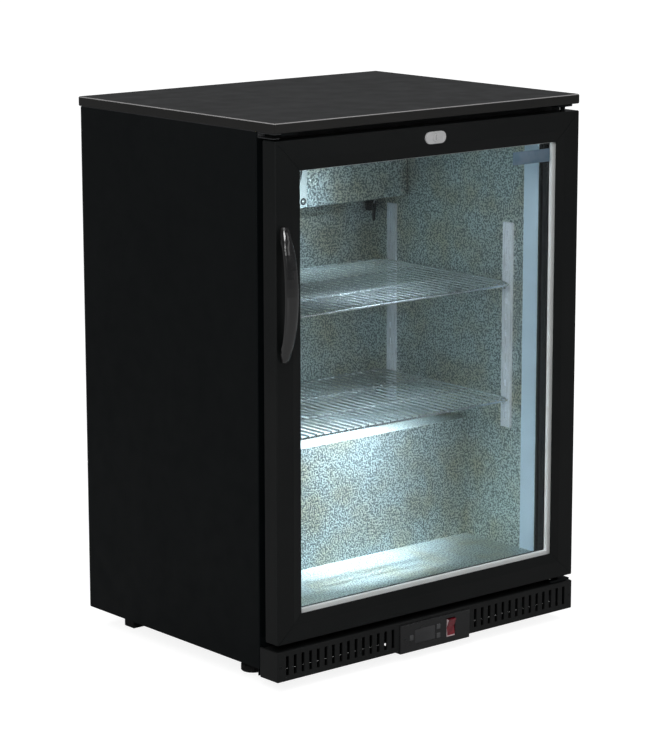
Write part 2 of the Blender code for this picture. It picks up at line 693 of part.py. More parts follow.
def glazing():
    bite = GLASS_BITE - GAP
    half = GLASS_HALF_WIDTH + bite
    fronts = {"glass_outer": PANE_FRONT, "glass_inner": PANE_FRONT + PANE + PANE_SPACE + 2 * GAP}
    for name, front in fronts.items():
        mesh = box_mesh((-half, front, GLASS_BOTTOM - bite), (half, front + PANE, GLASS_TOP + bite))
        part_from(name, mesh, "glass", (HINGE_X, HINGE_Y, 0))
    # The spacer's inner edge shows inside the frame, most at the bottom.
    side_show, bottom_show, top_show, width = 0.0025, 0.0045, 0.0015, 0.0070
    half, low, high = GLASS_HALF_WIDTH - side_show, GLASS_BOTTOM + bottom_show, GLASS_TOP - top_show
    inner = rectangle(-half, half, low, high)
    outer = rectangle(-half - width, half + width, low - width, high + width)
    start = PANE_FRONT + PANE + GAP
    mesh = plate_mesh([outer, inner], "XZ", start, start + PANE_SPACE)
    part_from("glass_spacer", mesh, "spacer", (HINGE_X, HINGE_Y, 0))


def door_gasket():
    """Magnetic seal on the door's rear, kept inside the hinge line so that it turns clear of the cabinet."""
    outer_half, width = 0.276, 0.014
    bottom, top = 0.091, 0.797
    outer = rounded_rectangle(-outer_half, outer_half, bottom, top, 0.003, 2)
    inner_half = outer_half - width
    inner = rectangle(-inner_half, inner_half, bottom + width, top - width)
    mesh = plate_mesh([outer, inner], "XZ", DOOR_REAR + GAP, CABINET_FRONT - 0.0005)
    smooth(part_from("door_gasket", mesh, "rubber", (HINGE_X, HINGE_Y, 0)))


def handle():
    """Moulded bow handle on the free stile: flat-backed, domed slices, narrow at both tips."""
    foot, grip, reach = 0.018, 0.0075, 0.0247
    tip_depth, tip_share, flank = 0.004, 0.30, 0.3
    stations, arc_steps = 24, 10
    base, height = FRONT - GAP, HANDLE_TOP - HANDLE_BOTTOM
    middle, full_width = (HANDLE_LEFT + HANDLE_RIGHT) / 2, HANDLE_RIGHT - HANDLE_LEFT
    bm = bmesh.new()
    rings = []
    for i in range(stations + 1):
        t = (1 - math.cos(math.pi * i / stations)) / 2
        z = HANDLE_BOTTOM + height * t
        bow = max(math.sin(math.pi * t), 0)
        half = full_width / 2 * (tip_share + (1 - tip_share) * bow**0.35)
        outer = base - tip_depth - (reach - tip_depth) * bow**0.6
        free = min(max((z - HANDLE_BOTTOM - foot) / (height - 2 * foot), 0), 1)
        back = base - (reach - grip) * max(math.sin(math.pi * free), 0) ** 0.45
        shoulder = back + flank * (outer - back)
        loop = [(middle + half, back), (middle - half, back)]
        for k in range(arc_steps + 1):
            angle = math.pi * k / arc_steps
            rise = max(math.sin(angle), 0) ** 0.8
            loop.append((middle - half * math.cos(angle), shoulder + (outer - shoulder) * rise))
        rings.append([bm.verts.new((x, y, z)) for x, y in loop])
    for lower, upper in zip(rings, rings[1:]):
        for k in range(len(lower)):
            bm.faces.new((lower[k - 1], lower[k], upper[k], upper[k - 1]))
    bm.faces.new(rings[0])
    bm.faces.new(reversed(rings[-1]))
    bmesh.ops.recalc_face_normals(bm, faces=bm.faces)
    mesh = bpy.data.meshes.new("handle")
    bm.to_mesh(mesh)
    bm.free()
    smooth(part_from("handle", mesh, "gloss_black", (HINGE_X, HINGE_Y, 0)), 40)


def door_lock():
    """Oval escutcheon with a key plug. Its cam drives a bolt up into the worktop's keeper pocket."""
    half_length, half_height = 0.020, 0.009
    middle = half_length - half_height
    oval = arc((LOCK_X + middle, LOCK_Z), half_height, -90, 90, 8)
    oval += arc((LOCK_X - middle, LOCK_Z), half_height, 90, 270, 8)
    plug_radius, barrel_radius = 0.0060, 0.0082
    barrel_rear, ahead = BOLT_FRONT - 0.0009, FRONT - 0.01
    centre, origin = (LOCK_X, 0, LOCK_Z), (LOCK_X, FRONT, LOCK_Z)
    body = part_from("lock_body", plate_mesh([oval], "XZ", FRONT - 0.0025, FRONT - GAP), "chrome", origin)
    join(body, rod_mesh(centre, barrel_radius, FRONT - 0.0010, barrel_rear, "Y", 20))
    cut(body, rod_mesh(centre, plug_radius + GAP, ahead, barrel_rear + 0.01, "Y", 20))
    cylinder = rod_mesh(centre, plug_radius, FRONT - 0.0032, barrel_rear, "Y", 20)
    plug = part_from("lock_plug", cylinder, "chrome", origin)
    slot_half, slot_reach, slot_floor = 0.0008, 0.0036, FRONT - 0.0012
    slot_low = (LOCK_X - slot_half, ahead, LOCK_Z - slot_reach)
    cut(plug, box_mesh(slot_low, (LOCK_X + slot_half, slot_floor, LOCK_Z + slot_reach)))
    bolt_half = 0.006
    mesh = box_mesh((LOCK_X - bolt_half, BOLT_FRONT, BOLT_BOTTOM), (LOCK_X + bolt_half, BOLT_REAR, BOLT_TOP))
    part_from("lock_bolt", mesh, "galvanised", (LOCK_X, BOLT_FRONT, LOCK_Z))
    for obj in (body, plug):
        smooth(obj)


def closer_spring():
    """Torsion spring round the lower hinge pin, inside the stile, which pulls the door shut."""
    turns, per_turn, pitch = 6, 8, 0.006
    mean_radius, wire, start = 0.0060, 0.0008, 0.082
    points = []
    for i in range(turns * per_turn + 1):
        angle = 2 * math.pi * i / per_turn
        points.append(
            (
                HINGE_X + mean_radius * math.cos(angle),
                HINGE_Y + mean_radius * math.sin(angle),
                start + pitch * i / per_turn,
            )
        )
    part_from("closer_spring", tube_mesh(points, wire, 1), "galvanised", (HINGE_X, HINGE_Y, 0))


def ceiling_light():
    """Slim lamp across the ceiling, in a channel behind the mouth."""
    half, y = 0.225, LAMP_Y
    top = CAVITY_TOP - GAP
    depth, width, wall = 0.011, 0.022, 0.0012
    section = [
        (y - width / 2, top - depth),
        (y - width / 2 + wall, top - depth),
        (y - width / 2 + wall, top - wall),
        (y + width / 2 - wall, top - wall),
        (y + width / 2 - wall, top - depth),
        (y + width / 2, top - depth),
        (y + width / 2, top),
        (y - width / 2, top),
    ]
    part_from("light_holder", plate_mesh([section], "YZ", -half, half), "galvanised")
    inset = 0.004
    mesh = rod_mesh((0, y, LAMP_Z), LAMP_RADIUS, -half + inset, half - inset, "X", 16)
    smooth(part_from("light_tube", mesh, "light_tube"))


def shelf_underside(level):
    return SHELF_TOPS[level] - SHELF_THICKNESS


def pilasters():
    """Notched uprights that the shelf clips hook into, near the front and the rear of each side wall."""
    notch_half_width, depth = 0.0026, 0.0030
    first = shelf_underside("lower") - GAP - CLIP_THICKNESS / 2 - NOTCH_PITCH
    count = int((PILASTER_TOP - first) / NOTCH_PITCH) + 1
    for side, sign in SIDES.items():
        for place, front in PILASTER_FRONTS.items():
            xs = sorted((sign * PILASTER_FACE, sign * (CAVITY_HALF_WIDTH - GAP)))
            mesh = box_mesh((xs[0], front, PILASTER_BOTTOM), (xs[1], front + PILASTER_WIDTH, PILASTER_TOP))
            obj = part_from(f"pilaster_{place}_{side}", mesh, "embossed_aluminium")
            middle = front + PILASTER_WIDTH / 2
            cut_xs = sorted((sign * (PILASTER_FACE - 0.002), sign * (PILASTER_FACE + depth)))
            notch = box_mesh(
                (cut_xs[0], middle - notch_half_width, first - NOTCH_HALF_HEIGHT),
                (cut_xs[1], middle + notch_half_width, first + NOTCH_HALF_HEIGHT),
            )
            repeat(cut(obj, notch)[0], count, (0, 0, NOTCH_PITCH))


def shelf_clips():
    """One hook under each shelf corner, its tongue in a notch of the pilaster."""
    reach, tongue, half_width = 0.243, PILASTER_FACE + 0.0024, 0.0020
    for level in SHELF_TOPS:
        top = shelf_underside(level) - GAP
        for side, sign in SIDES.items():
            section = [
                (sign * reach, top),
                (sign * tongue, top),
                (sign * tongue, top - CLIP_THICKNESS - 0.001),
                (sign * (PILASTER_FACE - GAP), top - CLIP_THICKNESS - 0.001),
                (sign * (PILASTER_FACE - 0.004), top - 0.009),
                (sign * (PILASTER_FACE - 0.007), top - CLIP_THICKNESS),
                (sign * reach, top - CLIP_THICKNESS),
            ]
            for place, front in PILASTER_FRONTS.items():
                middle = front + PILASTER_WIDTH / 2
                mesh = plate_mesh([section], "XZ", middle - half_width, middle + half_width)
                part_from(f"shelf_clip_{level}_{place}_{side}", mesh, "chrome")


def shelves():
    """Wire grids: closely spaced wires from front to rear in a rim, on a cross bar."""
    rim = 0.005
    wire = 0.0032
    inner = SHELF_HALF_WIDTH - rim
    slots = []
    pitch = (2 * inner + wire) / SHELF_SLOTS
    for i in range(SHELF_SLOTS):
        left = -inner + i * pitch
        slots.append(rectangle(left, left + pitch - wire, SHELF_FRONT + rim, SHELF_REAR - rim))
    outline = rectangle(-SHELF_HALF_WIDTH, SHELF_HALF_WIDTH, SHELF_FRONT, SHELF_REAR)
    bar_half_length, bar_y = inner + rim / 2, (SHELF_FRONT + SHELF_REAR) / 2
    for level, top in SHELF_TOPS.items():
        underside = shelf_underside(level)
        mesh = plate_mesh([outline] + slots, "XY", underside, top)
        shelf = part_from(f"shelf_{level}", mesh, "chrome")
        bar_low = (-bar_half_length, bar_y - wire / 2, underside - 0.0025)
        bar_high = (bar_half_length, bar_y + wire / 2, underside + 0.001)
        join(shelf, box_mesh(bar_low, bar_high), solver="MANIFOLD")


def evaporator_cover():
    """Housing right across the top of the rear wall, with the fan's outlet and a row of inlet slots."""
    low = Vector((-EVAPORATOR_HALF_WIDTH, EVAPORATOR_FRONT, EVAPORATOR_BOTTOM))
    high = Vector((EVAPORATOR_HALF_WIDTH, CAVITY_REAR - GAP, CAVITY_TOP - GAP))
    cover = part_from("evaporator_cover", box_mesh(low, high), "embossed_aluminium")
    wall = Vector((SHEET, SHEET, SHEET))
    hollow_high = (high.x - SHEET, high.y + 0.01, high.z - SHEET)
    front, behind = low.y - 0.01, low.y + 0.01
    cut(
        cover,
        box_mesh(low + wall, hollow_high),
        rod_mesh((EVAPORATOR_FAN.x, 0, EVAPORATOR_FAN.z), EVAPORATOR_HOLE, front, behind, "Y", 32),
    )
    count, pitch, width = 12, 0.0125, 0.006
    start = low.x + 0.020
    inlet = box_mesh((start, front, low.z + 0.020), (start + width, behind, high.z - 0.025))
    repeat(cut(cover, inlet)[0], count, (pitch, 0, 0))


def evaporator_coil():
    top = CAVITY_TOP - SHEET - 2 * GAP
    block = box_mesh((COIL_LEFT, COIL_FRONT, COIL_BOTTOM), (COIL_RIGHT, COIL_REAR, top))
    coil = part_from("evaporator_coil", block, "galvanised")
    slots, fin = 11, 0.0040
    pitch = (COIL_RIGHT - COIL_LEFT - fin) / slots
    low = (COIL_LEFT + fin, COIL_FRONT - 0.01, COIL_BOTTOM - 0.01)
    fin_gap = box_mesh(low, (COIL_LEFT + pitch, COIL_REAR + 0.01, top - 0.012))
    repeat(cut(coil, fin_gap)[0], slots, (pitch, 0, 0))
    # A solid block where the two pipes meet the coil
    reach = 0.008
    port_low = (LIQUID_X - reach, COIL_REAR - reach, COIL_PORT_Z - reach)
    join(coil, box_mesh(port_low, (SUCTION_X + reach, COIL_REAR, COIL_PORT_Z + reach)))


def fan(name, centre, hub_radius, tip_radius, depth, blades, chord, pitch_degrees):
    """A hub on the Y axis with flat blades set at a pitch."""
    obj = part_from(
        name,
        rod_mesh((centre.x, 0, centre.z), hub_radius, centre.y - depth / 2, centre.y + depth / 2, "Y", 20),
        "black_plastic",
        centre,
    )
    thickness = 0.0016
    inner = hub_radius * 0.6
    mesh = bpy.data.meshes.new(f"{name}_blades")
    bm = bmesh.new()
    for i in range(blades):
        size = Matrix.Diagonal((tip_radius - inner, thickness, chord, 1))
        place = (
            Matrix.Translation(centre)
            @ Matrix.Rotation(2 * math.pi * i / blades, 4, "Y")
            @ Matrix.Translation(((tip_radius + inner) / 2, 0, 0))
            @ Matrix.Rotation(math.radians(pitch_degrees), 4, "X")
            @ size
        )
        bmesh.ops.create_cube(bm, size=1, matrix=place)
    bm.to_mesh(mesh)
    bm.free()
    join(obj, mesh)
    smooth(obj)


def fans():
    fan("evaporator_fan", EVAPORATOR_FAN, 0.014, 0.0405, 0.012, 5, 0.020, 28)
    fan("condenser_fan", CONDENSER_FAN, 0.022, 0.0800, 0.018, 5, 0.036, 26)


def evaporator_fan_motor():
    x, y, z = EVAPORATOR_FAN
    motor_front, bracket_front, bar = y + 0.011, EVAPORATOR_FRONT + SHEET + GAP, 0.003
    span = 0.052
    mesh = rod_mesh((x, 0, z), 0.017, motor_front, motor_front + 0.030, "Y", 20)
    motor = part_from("evaporator_fan_motor", mesh, "galvanised")
    section = [
        (x - span - bar, bracket_front),
        (x - span, bracket_front),
        (x - span, motor_front + 0.001),
        (x + span, motor_front + 0.001),
        (x + span, bracket_front),
        (x + span + bar, bracket_front),
        (x + span + bar, motor_front + 0.001 + bar),
        (x - span - bar, motor_front + 0.001 + bar),
    ]
    join(motor, plate_mesh([section], "XY", z - 0.006, z + 0.006))
    smooth(motor)


def compressor():
    """Welded shell with its terminal box, on a base plate with four mounts."""
    radius, base, top = COMPRESSOR_RADIUS, COMPRESSOR.z, 0.2125
    dome = 0.040
    steps = 4
    angles = [math.pi / 2 * i / steps for i in range(steps + 1)]
    crown = [(radius * math.sin(a), top - dome + dome * math.cos(a)) for a in angles]
    foot = [(radius * math.cos(a), base + 0.030 - 0.030 * math.sin(a)) for a in angles]
    foot[-1] = (0, base)
    crown[0] = (0, top)
    seam = [(radius, 0.128), (radius + 0.003, 0.126), (radius + 0.003, 0.122), (radius, 0.120)]
    body = turned("compressor", crown + seam + foot, (COMPRESSOR.x, COMPRESSOR.y, 0), "gloss_black")
    x, y = COMPRESSOR.x, COMPRESSOR.y
    floor = TRAY_BOTTOM + TRAY_THICKNESS + GAP
    pieces = [
        box_mesh((x - 0.080, y - 0.055, base), (x + 0.080, y + 0.055, base + 0.003)),
        box_mesh((x + 0.045, y - 0.024, 0.085), (x + 0.082, y + 0.024, 0.145), bevel=0.003, segments=1),
    ]
    for dx in (-0.068, 0.068):
        for dy in (-0.043, 0.043):
            pieces.append(rod_mesh((x + dx, y + dy, 0), 0.008, floor, base + 0.001, sides=10))
    join(body, *pieces)
    smooth(body)


def condenser():
    rim, slots, fin = 0.009, 20, 0.0030
    left, right = CONDENSER_LEFT + rim, CONDENSER_RIGHT - rim
    pitch = (right - left + fin) / slots
    loops = [rectangle(CONDENSER_LEFT, CONDENSER_RIGHT, CONDENSER_BOTTOM, CONDENSER_TOP)]
    for i in range(slots):
        start = left + i * pitch
        loops.append(rectangle(start, start + pitch - fin, CONDENSER_BOTTOM + rim, CONDENSER_TOP - rim))
    part_from("condenser", plate_mesh(loops, "XZ", CONDENSER_FRONT, CONDENSER_REAR), "galvanised")


def condenser_fan_motor():
    """Shroud plate on the condenser, with a bracket that holds the motor behind the fan."""
    x, y, z = CONDENSER_FAN
    start, thick = CONDENSER_REAR + GAP, 0.002
    outline = rectangle(CONDENSER_LEFT, CONDENSER_RIGHT, CONDENSER_BOTTOM, CONDENSER_TOP)
    hole = arc((x, z), 0.085, 0, 360 * 31 / 32, 31)
    mesh = plate_mesh([outline, hole], "XZ", start, start + thick)
    shroud = part_from("condenser_fan_motor", mesh, "black_steel")
    bar, span, motor_front = 0.003, 0.098, y + 0.013
    section = [
        (x - span - bar, start + 0.001),
        (x - span, start + 0.001),
        (x - span, motor_front + 0.001),
        (x + span, motor_front + 0.001),
        (x + span, start + 0.001),
        (x + span + bar, start + 0.001),
        (x + span + bar, motor_front + 0.001 + bar),
        (x - span - bar, motor_front + 0.001 + bar),
    ]
    join(
        shroud,
        plate_mesh([section], "XY", z - 0.010, z + 0.010),
        rod_mesh((x, 0, z), 0.030, motor_front, motor_front + 0.048, "Y", 20),
    )
    smooth(shroud)


def bent(points, radius, steps=3):
    """The route through the points, with each corner rounded."""
    route = [Vector(points[0])]
    for before, here, after in zip(points, points[1:], points[2:]):
        before, here, after = Vector(before), Vector(here), Vector(after)
        reach = min(radius, (before - here).length / 2, (after - here).length / 2)
        start = here + (before - here).normalized() * reach
        end = here + (after - here).normalized() * reach
        for k in range(steps + 1):
            t = k / steps
            route.append(start * (1 - t) ** 2 + here * 2 * t * (1 - t) + end * t**2)
    route.append(Vector(points[-1]))
    return route


def refrigerant_lines():
    """Discharge from the compressor to the condenser, liquid to the coil, and suction back."""
    x, y, _ = COMPRESSOR
    shell_front, shell_rear = y - COMPRESSOR_RADIUS - 2 * GAP, y + COMPRESSOR_RADIUS + 2 * GAP
    into_condenser = CONDENSER_LEFT - GAP
    coil_rear = COIL_REAR + GAP
    rise_y = 0.035
    discharge = [
        (x, shell_front, 0.110),
        (x, rise_y, 0.110),
        (x, rise_y, 0.205),
        (into_condenser, rise_y + 0.010, 0.205),
    ]
    part_from("discharge_line", tube_mesh(bent(discharge, 0.018), 0.003), "copper")
    liquid = [
        (into_condenser, 0.050, 0.070),
        (-0.222, 0.050, 0.070),
        (-0.222, CHASE_Y, 0.070),
        (-0.222, CHASE_Y, 0.225),
        (LIQUID_X, CHASE_Y, 0.245),
        (LIQUID_X, CHASE_Y, COIL_PORT_Z),
        (LIQUID_X, coil_rear, COIL_PORT_Z),
    ]
    line = part_from("liquid_line", tube_mesh(bent(liquid, 0.012), 0.0018), "copper")
    join(line, rod_mesh((0, 0.050, 0.070), 0.0085, -0.060, 0.000, "X", 14))
    suction = [
        (x, shell_rear, 0.110),
        (x, CHASE_Y, 0.110),
        (x, CHASE_Y, 0.180),
        (SUCTION_X, CHASE_Y, 0.210),
        (SUCTION_X, CHASE_Y, COIL_PORT_Z),
        (SUCTION_X, coil_rear, COIL_PORT_Z),
    ]
    part_from("suction_line", tube_mesh(bent(suction, 0.010), 0.004), "copper")


def drip_tray():
    """Open tray over the compressor, whose warmth dries it."""
    low = Vector((DRIP_TRAY_LEFT, DRIP_TRAY_FRONT, DRIP_TRAY_BOTTOM))
    high = Vector((DRIP_TRAY_RIGHT, DRIP_TRAY_REAR, DRIP_TRAY_TOP))
    wall = 0.0018
    tray = part_from("drip_tray", box_mesh(low, high), "black_plastic")
    inset = Vector((wall, wall, wall))
    cut(tray, box_mesh(low + inset, (high.x - wall, high.y - wall, high.z + 0.01)))


def rear_cover():
    """Louvred panel over the compressor bay, with the gland for the supply lead."""
    front, half = SHELL_REAR + GAP, HALF_WIDTH - SHEET
    bottom, top = 0.0315, BAY_TOP - 0.001
    loops = [rectangle(-half, half, bottom, top)]
    rows, pitch, height = 10, 0.017, 0.006
    columns = ((-0.250, -0.020), (0.020, 0.250))
    for row in range(rows):
        low = 0.075 + row * pitch
        for left, right in columns:
            loops.append(rectangle(left, right, low, low + height))
    cover = part_from("rear_cover", plate_mesh(loops, "XZ", front, front + SHEET), "galvanised")
    gland = Vector((0.225, 0, 0.053))
    join(cover, rod_mesh(gland, 0.010, front - 0.004, WORKTOP_REAR, "Y", 14))
    cut(cover, rod_mesh(gland, 0.004, front - 0.01, WORKTOP_REAR + 0.01, "Y", 10))


clear_scene()
PARTS = new_collection("undercounter_refrigerator")
HELPERS = new_collection("helpers")

side_panels()
rear_panel()
top_panel()
foam_insulation()
inner_liner()
opening_trim()
base_tray()
kick_grille()
controller_bezel()
buttons()
rocker_switch()
feet()
hinge_brackets()
door_frame()
glazing()
door_gasket()
handle()
door_lock()
closer_spring()
ceiling_light()
pilasters()
shelf_clips()
shelves()
evaporator_cover()
evaporator_coil()
fans()
evaporator_fan_motor()
compressor()
condenser()
condenser_fan_motor()
refrigerant_lines()
drip_tray()
rear_cover()
HELPERS.hide_render = True
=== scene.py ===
"""The look of an undercounter refrigerator with one glass door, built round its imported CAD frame.

Metres, in the frame's own axes: X to the right, Y to the rear, Z up, with the origin on the floor.
"""

import math

import bmesh
import bpy
from mathutils import Matrix, Vector


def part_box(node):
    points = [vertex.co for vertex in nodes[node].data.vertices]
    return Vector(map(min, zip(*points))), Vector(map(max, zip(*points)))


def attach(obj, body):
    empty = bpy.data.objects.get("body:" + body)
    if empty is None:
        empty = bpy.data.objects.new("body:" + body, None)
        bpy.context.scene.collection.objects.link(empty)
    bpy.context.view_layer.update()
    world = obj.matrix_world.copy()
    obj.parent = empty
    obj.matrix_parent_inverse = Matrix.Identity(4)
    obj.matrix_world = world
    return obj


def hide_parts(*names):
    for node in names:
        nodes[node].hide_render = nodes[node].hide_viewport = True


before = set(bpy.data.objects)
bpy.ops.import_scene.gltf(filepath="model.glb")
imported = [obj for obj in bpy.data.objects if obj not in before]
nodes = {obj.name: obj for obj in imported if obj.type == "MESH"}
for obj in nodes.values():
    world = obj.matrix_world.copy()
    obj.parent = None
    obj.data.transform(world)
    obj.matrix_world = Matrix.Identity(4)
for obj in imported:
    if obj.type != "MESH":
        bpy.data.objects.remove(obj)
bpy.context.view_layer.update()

COOL_WHITE = (0.72, 0.88, 1.0)
CLEARANCE = 0.0001  # between a laid-on piece and the surface under it


# ---------------- camera, light and stage


def make_camera():
    data = bpy.data.cameras.new("camera")
    data.lens = 135.64
    data.clip_end = 100
    camera = bpy.data.objects.new("camera", data)
    camera.location = (-2.771, -3.279, 1.297)
    camera.rotation_euler = [math.radians(a) for a in (78.211, 0.098, -40.01)]
    bpy.context.scene.collection.objects.link(camera)
    bpy.context.scene.camera = camera


def area_light(name, place, target, size, power, colour=(1, 1, 1)):
    data = bpy.data.lights.new(name, "AREA")
    data.shape = "RECTANGLE"
    data.size, data.size_y = size
    data.energy = power
    data.color = colour
    light = bpy.data.objects.new(name, data)
    light.location = place
    light.rotation_euler = (Vector(target) - Vector(place)).to_track_quat("-Z", "Y").to_euler()
    bpy.context.scene.collection.objects.link(light)
    light.visible_camera = False
    return light


def make_lights():
    """Soft overhead light, large panels for the paint's reflections and two small ones for the handle's."""
    sky = bpy.data.lights.new("overhead", "SUN")
    sky.energy = 1.5
    sky.angle = math.radians(66)
    overhead = bpy.data.objects.new("overhead", sky)
    overhead.rotation_euler = Vector((0.05, 0.10, -0.99)).to_track_quat("-Z", "Y").to_euler()
    bpy.context.scene.collection.objects.link(overhead)
    area_light("front_left", (-2.6, -2.2, 2.2), (0, 0, 0.5), (1.2, 1.6), 70)
    area_light("front_right", (0.8, -3.4, 1.9), (0, 0, 0.5), (1.2, 1.2), 6)
    area_light("rear_left", (-1.2, 3.6, 1.3), (0, 0, 0.4), (1.4, 1.2), 3)
    area_light("grip_low", (1.58, -2.55, 0.60), (-0.286, -0.24, 0.61), (0.24, 0.24), 0.5)
    area_light("grip_high", (1.58, -2.50, 1.19), (-0.286, -0.24, 0.65), (0.24, 0.26), 1.0)
    area_light("rear_right", (3.6, 0.5, 1.3), (0, 0, 0.4), (1.4, 1.2), 14)


def lamp_lights():
    """Two narrow lights just under the lamp. One lights the cabinet's floor, the other its rear wall."""
    low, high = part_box("light_tube")
    y, z = (low.y + high.y) / 2, low.z - 0.0032
    glow = area_light("lamp_glow", (0, y, z), (0, 0.05, 0.15), (0.16, 0.010), 9.0, COOL_WHITE)
    glow.data.spread = math.radians(40)
    fill = area_light("lamp_fill", (-0.06, y, z), (-0.02, 0.20, 0.62), (0.20, 0.010), 0.45, COOL_WHITE)
    fill.data.spread = math.radians(46)


def split_by_viewer(tree, seen, lit, out):
    """The camera sees one shader. Reflections and bounced light get the other."""
    mix = tree.nodes.new("ShaderNodeMixShader")
    path = tree.nodes.new("ShaderNodeLightPath")
    tree.links.new(path.outputs["Is Camera Ray"], mix.inputs[0])
    tree.links.new(lit.outputs[0], mix.inputs[1])
    tree.links.new(seen.outputs[0], mix.inputs[2])
    tree.links.new(mix.outputs[0], out.inputs[0])


def make_world():
    """White where the camera sees it, dim where the object reflects it."""
    world = bpy.data.worlds.new("studio")
    bpy.context.scene.world = world
    world.use_nodes = True
    tree = world.node_tree
    tree.nodes.clear()
    seen = tree.nodes.new("ShaderNodeBackground")
    seen.inputs["Color"].default_value = (1, 1, 1, 1)
    dim = tree.nodes.new("ShaderNodeBackground")
    dim.inputs["Color"].default_value = (0.93, 0.96, 1, 1)
    dim.inputs["Strength"].default_value = 0.16
    split_by_viewer(tree, seen, dim, tree.nodes.new("ShaderNodeOutputWorld"))


def make_floor():
    """A pale, backlit floor that takes only a light shadow. It throws little light back at the object."""
    mesh = bpy.data.meshes.new("floor")
    bm = bmesh.new()
    bmesh.ops.create_grid(bm, x_segments=1, y_segments=1, size=40)
    bm.to_mesh(mesh)
    bm.free()
    floor = bpy.data.objects.new("floor", mesh)
    floor.location.z = -0.0004
    bpy.context.scene.collection.objects.link(floor)
    material = bpy.data.materials.new("pale_floor")
    material.use_nodes = True
    tree = material.node_tree
    tree.nodes.clear()
    backlit = tree.nodes.new("ShaderNodeEmission")
    backlit.inputs["Strength"].default_value = 0.88
    pale = tree.nodes.new("ShaderNodeBsdfDiffuse")
    pale.inputs["Color"].default_value = (0.36, 0.36, 0.36, 1)
    seen = tree.nodes.new("ShaderNodeAddShader")
    tree.links.new(backlit.outputs[0], seen.inputs[0])
    tree.links.new(pale.outputs[0], seen.inputs[1])
    shade = tree.nodes.new("ShaderNodeBsdfDiffuse")
    shade.inputs["Color"].default_value = (0.40, 0.40, 0.40, 1)
    split_by_viewer(tree, seen, shade, tree.nodes.new("ShaderNodeOutputMaterial"))
    mesh.materials.append(material)


# ---------------- materials


class Surface:
    """A Principled material whose patterns read the object's own coordinates, in metres."""

    def __init__(self, name, colour, roughness, metallic=0.0, **sockets):
        self.material = bpy.data.materials.new(name)
        self.material.use_nodes = True
        self.tree = self.material.node_tree
        self.shader = self.tree.nodes["Principled BSDF"]
        self.place = self.tree.nodes.new("ShaderNodeTexCoord").outputs["Object"]
        self.colour = (*colour, 1)
        self.shader.inputs["Base Color"].default_value = self.colour
        self.shader.inputs["Roughness"].default_value = roughness
        self.shader.inputs["Metallic"].default_value = metallic
        for socket, value in sockets.items():
            self.shader.inputs[socket.replace("_", " ")].default_value = value

    def node(self, kind, inputs=None, **settings):
        node = self.tree.nodes.new("ShaderNode" + kind)
        for key, value in settings.items():
            setattr(node, key, value)
        for key, value in (inputs or {}).items():
            if isinstance(value, bpy.types.NodeSocket):
                self.tree.links.new(value, node.inputs[key])
            else:
                node.inputs[key].default_value = value
        return node

    def noise(self, scale, detail=2.0, stretch=None, roughness=0.5):
        place = self.place
        if stretch:
            place = self.node("Mapping", {"Vector": place, "Scale": stretch}).outputs[0]
        inputs = {"Vector": place, "Scale": scale, "Detail": detail, "Roughness": roughness}
        return self.node("TexNoise", inputs).outputs["Fac"]

    def cells(self, scale, output="Distance"):
        return self.node("TexVoronoi", {"Vector": self.place, "Scale": scale}).outputs[output]

    def ramp(self, value, low, high, start=0.0, end=1.0):
        """The value from low to high, mapped onto start to end."""
        inputs = {"Value": value, "From Min": low, "From Max": high, "To Min": start, "To Max": end}
        return self.node("MapRange", inputs).outputs["Result"]

    def maths(self, operation, first, second):
        return self.node("Math", {0: first, 1: second}, operation=operation).outputs[0]

    def axis(self, index):
        return self.node("SeparateXYZ", {0: self.place}).outputs[index]

    def mix(self, factor, first, second):
        node = self.node("Mix", {0: factor, 6: first, 7: second}, data_type="RGBA")
        return node.outputs[2]

    def tone(self, factor, other):
        """Turns the colour towards another one by a factor from 0 to 1."""
        current = self.shader.inputs["Base Color"]
        source = current.links[0].from_socket if current.links else self.colour
        self.tree.links.new(self.mix(factor, source, (*other, 1)), current)
        return self

    def vary(self, other, scale, low=0.35, high=0.65):
        """Patches of another colour, from noise of that scale."""
        return self.tone(self.ramp(self.noise(scale), low, high), other)

    def gloss(self, value, low, high, start, end):
        """Roughness from start to end as the value goes from low to high."""
        self.tree.links.new(self.ramp(value, low, high, start, end), self.shader.inputs["Roughness"])
        return self

    def relief(self, height, distance):
        """A bump of that depth in metres."""
        bump = self.node("Bump", {"Height": height, "Distance": distance, "Strength": 1.0})
        self.tree.links.new(bump.outputs[0], self.shader.inputs["Normal"])
        return self


def painted_steel():
    """Black powder coat with a fine orange peel."""
    paint = Surface("black_powder_coat", (0.0014, 0.0024, 0.0028), 0.45, Specular_IOR_Level=0.10)
    paint.vary((0.0022, 0.0032, 0.0036), 5.0)
    paint.gloss(paint.noise(30, 3), 0.3, 0.7, 0.40, 0.52)
    return paint.relief(paint.noise(700, 2), 0.00004)


def door_paint():
    """The door's smoother, slightly lighter coat."""
    paint = Surface("black_door_coat", (0.0034, 0.0042, 0.0042), 0.36, Specular_IOR_Level=0.18)
    paint.vary((0.0052, 0.0057, 0.0057), 6.0)
    paint.gloss(paint.noise(40, 3), 0.3, 0.7, 0.32, 0.42)
    return paint.relief(paint.noise(850, 2), 0.00003)


